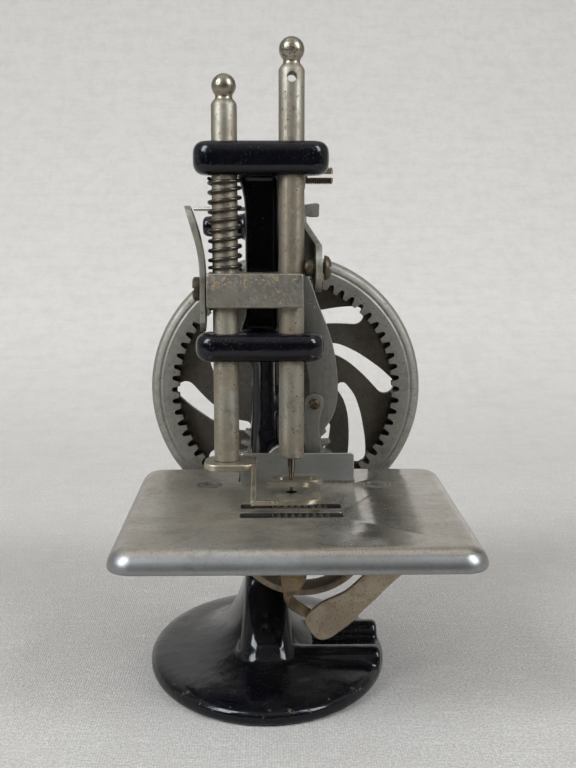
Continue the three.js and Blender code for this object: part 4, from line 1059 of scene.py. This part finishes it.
def make_lifter():
    cam = []
    for i in range(61):
        degrees = -95 + i * 3
        radius = 11.4 - 2.0 * min(max((degrees + 90) / 90, 0), 1)
        y, z = polar(LIFTER, radius, degrees)
        if z < LIFTER[1] - 0.5:
            cam.append((y, z))
    ob = plate("yz", cam + spline(LIFTER_SIDE, 5, closed=False), -24, -10)
    bend = spline(LIFTER_RIGHT, closed=False) + spline(LIFTER_LEFT, closed=False)
    boolean(ob, plate("xz", bend, -16, 16), operation="INTERSECT")
    boolean(ob, cylinder("x", LIFTER, 1.65, -26, -10, 32))
    bevel(ob, 0.28, 3, 40)
    piece(ob, "lifter_strip", "lifter_lever", NICKEL, 36)


# ---------------------------------------------------------------- drive
# top view of the needle lever's bends: x, y
LEVER_PLAN = [
    (12.8, -9), (14.4, -9), (14.4, 3), (14.0, 4.6), (10.8, 15), (9.6, 18), (9.3, 19),
    (9.3, 30), (7.7, 30), (7.7, 19), (7.9, 17.8), (9.2, 14.6), (12.4, 4.2), (12.8, 3)]
# front views: x, z
PITMAN = [
    (5.9, 114.5), (5.9, 108), (8.2, 104), (9.6, 95), (10.4, 85), (11.4, 79), (11.8, 73),
    (10.8, 67), (8.0, 60), (4.4, 54), (2.3, 50.5), (2.1, 47.9), (3.3, 45.6), (5.4, 44.8),
    (7.6, 45.6), (9.1, 48.2), (10.3, 52), (12.6, 57.8), (14.3, 60.8), (15.8, 62.4),
    (18.0, 65.5), (19.4, 69.0), (19.9, 72.8), (19.8, 78.5), (18.8, 85.7), (16.7, 92.8),
    (14.4, 98.5), (12.7, 103.5), (11.3, 107.0), (8.6, 110.0), (7.6, 112.0), (7.4, 114.4)]
DRIVE_ROD = [
    (10.6, 71.6), (11.6, 72.9), (13.6, 73.2), (15.4, 72.4), (15.9, 70.4), (15.0, 67.4),
    (14.6, 64), (15.2, 58), (16.0, 46), (16.0, 39), (15.2, 37), (13.9, 36.3), (12.5, 37),
    (11.7, 39), (11.6, 46), (10.6, 58), (10.0, 62.5), (10.4, 68)]


def make_needle_lever():
    ob = plate("yz", circle(*STUD, 6.4, 64), 0, 20)
    # a hair thinner than the disc, so that no faces coincide
    union(ob, plate("yz", link_outline(STUD, 4.2, LEVER, 4.9, 28), 0.001, 19.999))
    boolean(ob, plate("xy", LEVER_PLAN, 95, 135), operation="INTERSECT")
    slot = [(*polar(LEVER, LEVER_REACH + offset, LEVER_TILT), 3.9) for offset in (-2.7, 0.1)]
    boolean(ob, plate("yz", strip_outline(slot, 12), 10, 16),
            cylinder("x", LEVER, 2.1, 6, 12), cylinder("x", PITMAN_PIN, 1.3, 6, 13, 32))
    bevel(ob, 0.22, 3, 40)
    piece(ob, "needle_lever_plate", "needle_lever", NICKEL, 36)


def make_pitman():
    ob = plate("xz", spline(PITMAN, 5), 13.8, 15.0, 0.25, 3)
    y, z = PITMAN_PIN
    ear = circle(y, z, 3.0, 28, 0, 180) + [(y - 3.0, 113.4), (y - 1.6, 111.5),
                                           (y + 1.6, 111.5), (y + 3.0, 113.4)]
    union(ob, plate("yz", fillet(ear, 0.4, 2, True), 5.95, 7.3, 0.2, 3))
    boolean(ob, cylinder("x", PITMAN_PIN, 1.3, 4, 13, 32),
            cylinder("y", (PINION[0], PINION[1] - 3.25), 1.55, 12, 17, 32),
            cylinder("y", ROD_TOP, 1.3, 12, 17, 32))
    piece(ob, "leaf_pitman", "pitman", LEAF, 36)


def make_drive_rod():
    ob = plate("xz", spline(DRIVE_ROD, 5), 12.4, 13.6, 0.25, 3)
    boolean(ob, cylinder("y", ROD_TOP, 1.3, 10, 17, 32),
            cylinder("y", ROD_FOOT, 1.2, 10, 17, 32))
    piece(ob, "looper_drive_rod", "drive_rod", LEAF, 36)


def make_rod_rivet():
    ob = lathe("y", ROD_TOP, [(0, 11.15), (0.7, 11.2), (1.2, 11.45), (1.5, 11.95),
                              (1.55, 12.3), (1.22, 12.3), (1.22, 15.15), (2.0, 15.15),
                              (1.9, 15.8), (0, 15.95)], 40)
    piece(ob, "rod_rivet", "drive_rod_rivet", BROWN, 40)


def make_lever_screw():
    ob = lathe("x", LEVER, [(0, -1.5), (2.0, -1.5), (2.0, 9.5), (3.6, 9.5), (3.6, 10.5),
                            (3.1, 11.1), (0, 11.25)], 56, 0.15)
    y, z = LEVER
    boolean(ob, block(10.4, 12, y - 5, y + 5, z - 0.4, z + 0.4))
    piece(ob, "lever_screw", "lever_pivot_screw", DULL, 36)


# ---------------------------------------------------------------- tension and thread parts
# closed sections: radius, x
INNER_DISC = [(2.55, 3.4), (4.0, 3.4), (6.0, 3.9), (6.3, 4.4), (5.9, 4.5), (4.0, 4.0),
              (2.55, 4.0), (2.55, 3.4)]
OUTER_DISC = [(2.55, 4.9), (4.0, 4.9), (5.9, 4.6), (6.3, 4.7), (6.0, 5.2), (4.0, 5.5),
              (2.55, 5.5), (2.55, 4.9)]


def make_tension_stud():
    profile = [(0, -2.2), (1.95, -2.2), (1.95, 3.3), (2.4, 3.3), (2.4, 7.0)]
    x = 7.0
    while x < 17.4:  # thread grooves
        profile += [(2.4, x), (1.98, x + 0.28), (2.4, x + 0.56)]
        x += 0.58
    ob = lathe("x", TENSION, profile + [(2.05, 17.9), (1.9, 18.0), (0, 18.0)], 48)
    z = TENSION[1]
    boolean(ob, block(11, 20, 5, 21, z - 0.55, z + 0.55))
    piece(ob, "slit_tension_stud", "tension_stud", STUD_STEEL, 28)


def make_tension_disc(section, side):
    piece(lathe("x", TENSION, section, 64, 0.08), side + "_tension_disc",
          "tension_disc_" + side, NICKEL, 40)


def make_tension_spring():
    path, sections = [], []
    for i in range(161):
        part = i / 160
        turn, radius, x = part * 3 * 2 * math.pi, 3.75 - 0.75 * part, 5.85 + 1.3 * part
        out = Vector((0, math.cos(turn), math.sin(turn)))
        path.append((x, TENSION[0] + radius * math.cos(turn),
                     TENSION[1] + radius * math.sin(turn)))
        sections.append(wire_section(0.2, 10, out, Vector((1, 0, 0))))
    piece(sweep(path, sections), "cone_spring", "tension_spring", SPRING, 50)


def make_thread_guide():
    outline = [(-3.4, 123.4), (9.5, 123.3), (12.9, 122.85), (15.1, 122.9), (15.2, 126.7),
               (14.2, 127.0), (10.5, 126.5), (-3.4, 126.4)]
    ob = plate("xz", fillet(outline, 0.7, 5, True), 29.5, 30.5, 0.2, 3)
    boolean(ob, cylinder("y", GUIDE_SCREW, 1.15, 28, 32, 28))
    piece(ob, "thread_guide_tab", "thread_guide", DULL, 36)


def make_thread_pin():
    profile = [(0, -20.4), (0.4, -20.35), (0.56, -20.1), (0.58, -3.4), (0, -3.4)]
    piece(lathe("x", THREAD_PIN, profile, 24), "thread_pin", "thread_wire", NICKEL, 40)


# ---------------------------------------------------------------- under the bed
# the looper strap: x, z, width, twist in degrees
STRAP_LINE = [
    (6.7, 33.4, 6.6, 0), (6.5, 31.0, 6.6, 4), (6.0, 28.8, 5.4, 12), (5.4, 26.9, 3.8, 34),
    (5.15, 25.5, 2.9, 62), (6.0, 24.2, 2.9, 40), (7.6, 22.9, 3.0, 14), (9.6, 21.6, 2.7, 2),
    (11.4, 20.7, 2.3, 0)]
# its section, in half widths and half thicknesses
STRAP_SECTION = [(-1, -.6), (-.9, -1), (.9, -1), (1, -.6), (1, .6), (.9, 1), (-.9, 1),
                 (-1, .6)]
# front view of the looper drive lever: x, z
PLATE_LEVER = [
    (39.6, 36.2), (40.6, 39.6), (39.0, 42.2), (36.2, 42.8), (33.4, 41.4), (31.0, 39.2),
    (27.8, 35.8), (24.1, 32.4), (19.9, 28.6), (16.8, 27.0), (13.5, 25.4), (10.1, 22.2),
    (9.4, 20.3), (10.4, 18.2), (12.2, 16.0), (13.8, 15.4), (15.8, 15.9), (18.4, 17.7),
    (21.5, 20.2), (24.3, 23.2), (27.6, 26.4), (31.7, 30.6), (36.0, 34.2)]


def make_feed_carrier():
    x, z = 9.2, 42.2
    half_ring = circle(x, z, 19.6, 72, 180, 360) + circle(x, z, 17.8, 72, 180, 360)[::-1]
    ob = plate("xz", half_ring, -12.6, -4.6, 0.3, 3)
    union(ob, block(x - 19.5, x - 13.4, -21.5, -4.6, 41.0, z),
          block(x + 13.4, x + 19.5, -21.5, -4.6, 41.0, z))
    boolean(ob, *[cylinder("z", (screw_x, -18.7), 1.1, 40, 46, 24) for screw_x in (-6.6, 25.2)])
    piece(ob, "half_round_carrier", "feed_carrier", RAW, 36)


def make_looper_arm():
    """A twisted strap from the looper shaft to the plate lever's pin."""
    line = spline(STRAP_LINE, 6, closed=False)
    path, sections = [], []
    for i, (x, z, width, twist) in enumerate(line):
        before, after = line[max(0, i - 1)], line[min(len(line) - 1, i + 1)]
        along = Vector((after[0] - before[0], 0, after[1] - before[1])).normalized()
        flat, thin = Vector((-along.z, 0, along.x)), Vector((0, 1, 0))
        turn = math.radians(twist)
        half_width = (flat * math.cos(turn) + thin * math.sin(turn)) * width / 2
        half_thick = (thin * math.cos(turn) - flat * math.sin(turn)) * 0.6
        path.append((x, -21.9, z))
        sections.append([tuple(across * half_width + up * half_thick)
                         for across, up in STRAP_SECTION])
    hub = plate("xz", circle(*LOOPER, 3.3, 40), -22.6, -21.2, 0.25, 3)
    ob = union(sweep(path, sections), hub)
    boolean(ob, cylinder("y", LOOPER, 1.64, -24, -19, 40))
    piece(ob, "twisted_looper_strap", "looper_arm", STRAP, 40)


def make_rocker_arm():
    ob = plate("xz", link_outline(ROCKER, 3.4, ROD_FOOT, 2.6, 24), 13.9, 15.1, 0.25, 3)
    boolean(ob, cylinder("y", ROCKER, 1.64, 12, 17, 40))
    piece(ob, "rear_rocker_arm", "rocker_arm", RAW, 36)


def make_plate_lever():
    ob = plate("xz", spline(PLATE_LEVER, 6), -25.8, -24.4, 0.35, 4)
    union(ob, cylinder("y", (11.9, 20.9), 1.0, -24.6, -23.0, 32))
    boolean(ob, cylinder("y", ROCKER, 1.64, -28, -22, 40))
    piece(ob, "plate_lever", "looper_drive_lever", RAW, 36)


# ---------------------------------------------------------------- all pieces, in order
make_frame()
make_bed()
make_wheel()
make_needle_bar()
make_presser_bar()
make_needle()
make_presser_spring()

refined("guide_block", "bar_guide_block", BLOCK, width=0.35, segments=3)
refined("block_set_screw", "block_screw", DULL, width=0.1)
make_presser_foot()
make_lifter()
refined("lifter_screw", "lifter_pivot_screw", BROWN, width=0.15, angle=40)

make_needle_lever()
make_pitman()
refined("pitman_pin", "pitman_pivot", DULL, width=0.12, angle=40)
make_drive_rod()
make_rod_rivet()
refined("needle_bar_stud", "bar_stud_and_roller", BROWN, width=0.2, segments=3, angle=42)
make_lever_screw()
refined("pinion", "pinion_gear", DULL, width=0.12, angle=32)
refined("pinion_shaft", "drive_shaft", NICKEL, width=0.1)
refined("crank_disc", "crank_disc_and_pin", DULL, width=0.12)
make_wheel_screw()
make_crank_spindle()
make_crank_knob()

make_tension_stud()
make_tension_disc(INNER_DISC, "inner")
make_tension_disc(OUTER_DISC, "outer")
make_tension_spring()
refined("tension_nut", "knurled_nut", DULL, width=0.1, angle=32)
make_thread_guide()
refined("guide_screw", "guide_tab_screw", DULL, width=0.12, angle=40)
make_thread_pin()

refined("feed_dog", "toothed_feed_dog", TEETH, width=0.08, angle=30)
make_feed_carrier()
for side in ("left", "right"):
    refined("feed_screw_" + side, "carrier_screw_" + side, DULL, width=0.1, angle=40)
for side in ("left", "right"):
    refined("bed_screw_" + side, "sunk_screw_" + side, NICKEL, width=0.06, angle=40)
refined("looper_bracket", "looper_bearing", RAW, width=0.25, segments=3, angle=40)
refined("looper_shaft", "looper_spindle", DULL, width=0.1)
refined("looper", "looper_hook", NICKEL, width=0.2, segments=3, angle=42)
make_looper_arm()
refined("rocker_bracket", "rocker_bearing", RAW, width=0.25, segments=3, angle=40)
refined("rocker_shaft", "rocker_spindle", DULL, width=0.1)
make_rocker_arm()
make_plate_lever()


# ---------------------------------------------------------------- stage, metres
def linen():
    m = Surface("linen_cloth", (0.685, 0.652, 0.612))
    x, y, z = m.axes(m.coords)
    # y + z carries the weave up the curved backdrop
    m.coords = m.add("CombineXYZ", {0: x, 1: y + z})
    warp = m.wave(scale=470, distort=3.0, detail_scale=500, bands_direction="X")
    weft = m.wave(scale=430, distort=3.0, detail_scale=420, bands_direction="Y")
    weave = (warp + weft) * 0.5
    blot = m.noise(scale=9, detail=4, rough=0.6)
    grain = m.noise(scale=1250, detail=3, rough=0.8)
    slub_x = m.noise(scale=520, detail=4, rough=0.7, stretch=(0.22, 1.0, 1))
    slub_y = m.noise(scale=520, detail=4, rough=0.7, stretch=(1.0, 0.22, 1))
    cloud_x = m.noise(scale=75, detail=5, rough=0.75, stretch=(0.45, 1.0, 1))
    cloud_y = m.noise(scale=110, detail=5, rough=0.8, stretch=(1.0, 0.4, 1))
    m.paint(blot.ramp(over=(0.3, 0.7)), (0.632, 0.598, 0.558))
    m.paint(grain.ramp(over=(0.38, 0.62), to=(0.0, 0.75)), (0.35, 0.335, 0.315))
    m.paint(weave.ramp(over=(0.2, 0.8), to=(0.45, 0.0)), (0.32, 0.305, 0.29))
    m.paint(slub_x.ramp(over=(0.50, 0.70), to=(0.0, 0.25)), (0.76, 0.74, 0.71))
    m.paint(slub_y.ramp(over=(0.50, 0.68), to=(0.0, 0.30)), (0.44, 0.425, 0.405))
    # painted light: paler towards the back and up the backdrop, standing in for the brighter
    # light there; this also evens out the weave
    m.paint((z + y * 0.35).ramp(over=(0.0, 0.24), to=(0.0, 0.60)), (0.865, 0.825, 0.785))
    m.paint(cloud_x.ramp(over=(0.42, 0.64), to=(0.0, 0.13)), (0.44, 0.41, 0.385))
    m.paint(cloud_y.ramp(over=(0.44, 0.62), to=(0.0, 0.13)), (0.44, 0.405, 0.38))
    m.bump(grain, depth=0.0003, strength=0.6)
    m.bump(weave, depth=0.00015, strength=0.6)
    return m.done(0.92, {"Specular IOR Level": 0.15})


def make_cloth():
    """Flat floor, quarter-round sweep and upright back, as a strip along Y."""
    front, bend_start, bend, top, half = -0.46, 0.22, 0.66, 2.2, 2.2
    rows = [(front + 0.68 * (i / 23), 0.0) for i in range(24)]
    for i in range(1, 33):
        turn = math.radians(90 * i / 32)
        rows.append((bend_start + bend * math.sin(turn), bend - bend * math.cos(turn)))
    rows.append((bend_start + bend, top))
    verts = [(x, y, z) for y, z in rows for x in (-half, half)]
    faces = [(2 * i, 2 * i + 1, 2 * i + 3, 2 * i + 2) for i in range(len(rows) - 1)]
    mesh = bpy.data.meshes.new("cloth")
    mesh.from_pydata(verts, [], faces)
    cloth = add_object(mesh, "cloth")
    for face in mesh.polygons:
        face.use_smooth = True
    mesh.materials.append(linen())


def make_world():
    """Light from above and from behind, dim towards the front."""
    world = bpy.data.worlds.new("studio")
    scene.world = world
    world.use_nodes = True
    graph = Graph(world.node_tree, "Generated")
    x, y, z = graph.axes(graph.coords)
    strength = z.ramp(over=(0.10, 0.80), to=(0.0, 0.54)).max(
        y.ramp(over=(-0.60, 0.30), to=(0.025, 0.50)))
    graph.end("World", graph.add("Background", {"Color": (1.0, 0.98, 0.945),
                                                "Strength": strength}))


def area_light(name, place, target, size, power, color):
    """A rectangle light aimed at the target; size is (width, height)."""
    light = bpy.data.lights.new(name, "AREA")
    light.shape = "RECTANGLE"
    light.size, light.size_y = size
    light.energy, light.color = power, color
    ob = add_object(light, name)
    ob.location = place
    aim = Vector(target) - Vector(place)
    ob.rotation_euler = aim.to_track_quat("-Z", "Y").to_euler()


def make_camera():
    camera = bpy.data.cameras.new("camera")
    camera.lens, camera.sensor_width, camera.sensor_fit = 50.625, 36.0, "AUTO"
    camera.clip_start, camera.clip_end = 0.01, 20
    ob = add_object(camera, "camera")
    ob.location = (0.00015, -0.290, 0.1241)
    ob.rotation_euler = (math.radians(81.0), 0.0, math.radians(-1.05))
    scene.camera = ob


make_cloth()
make_world()
COOL = (0.88, 0.94, 1.0)
area_light("soft_left", place=(-0.62, -0.42, 0.62), target=(0, 0, 0.07), size=(0.34, 0.60),
           power=9.2, color=COOL)
area_light("soft_right", place=(0.66, -0.40, 0.60), target=(0, 0, 0.07), size=(0.30, 0.60),
           power=7.0, color=COOL)
area_light("top", place=(0.0, 0.45, 1.4), target=(0, 0.15, 0.0), size=(1.6, 1.6),
           power=2.6, color=(1.0, 0.99, 0.97))
make_camera()
scene.view_settings.view_transform = "Standard"
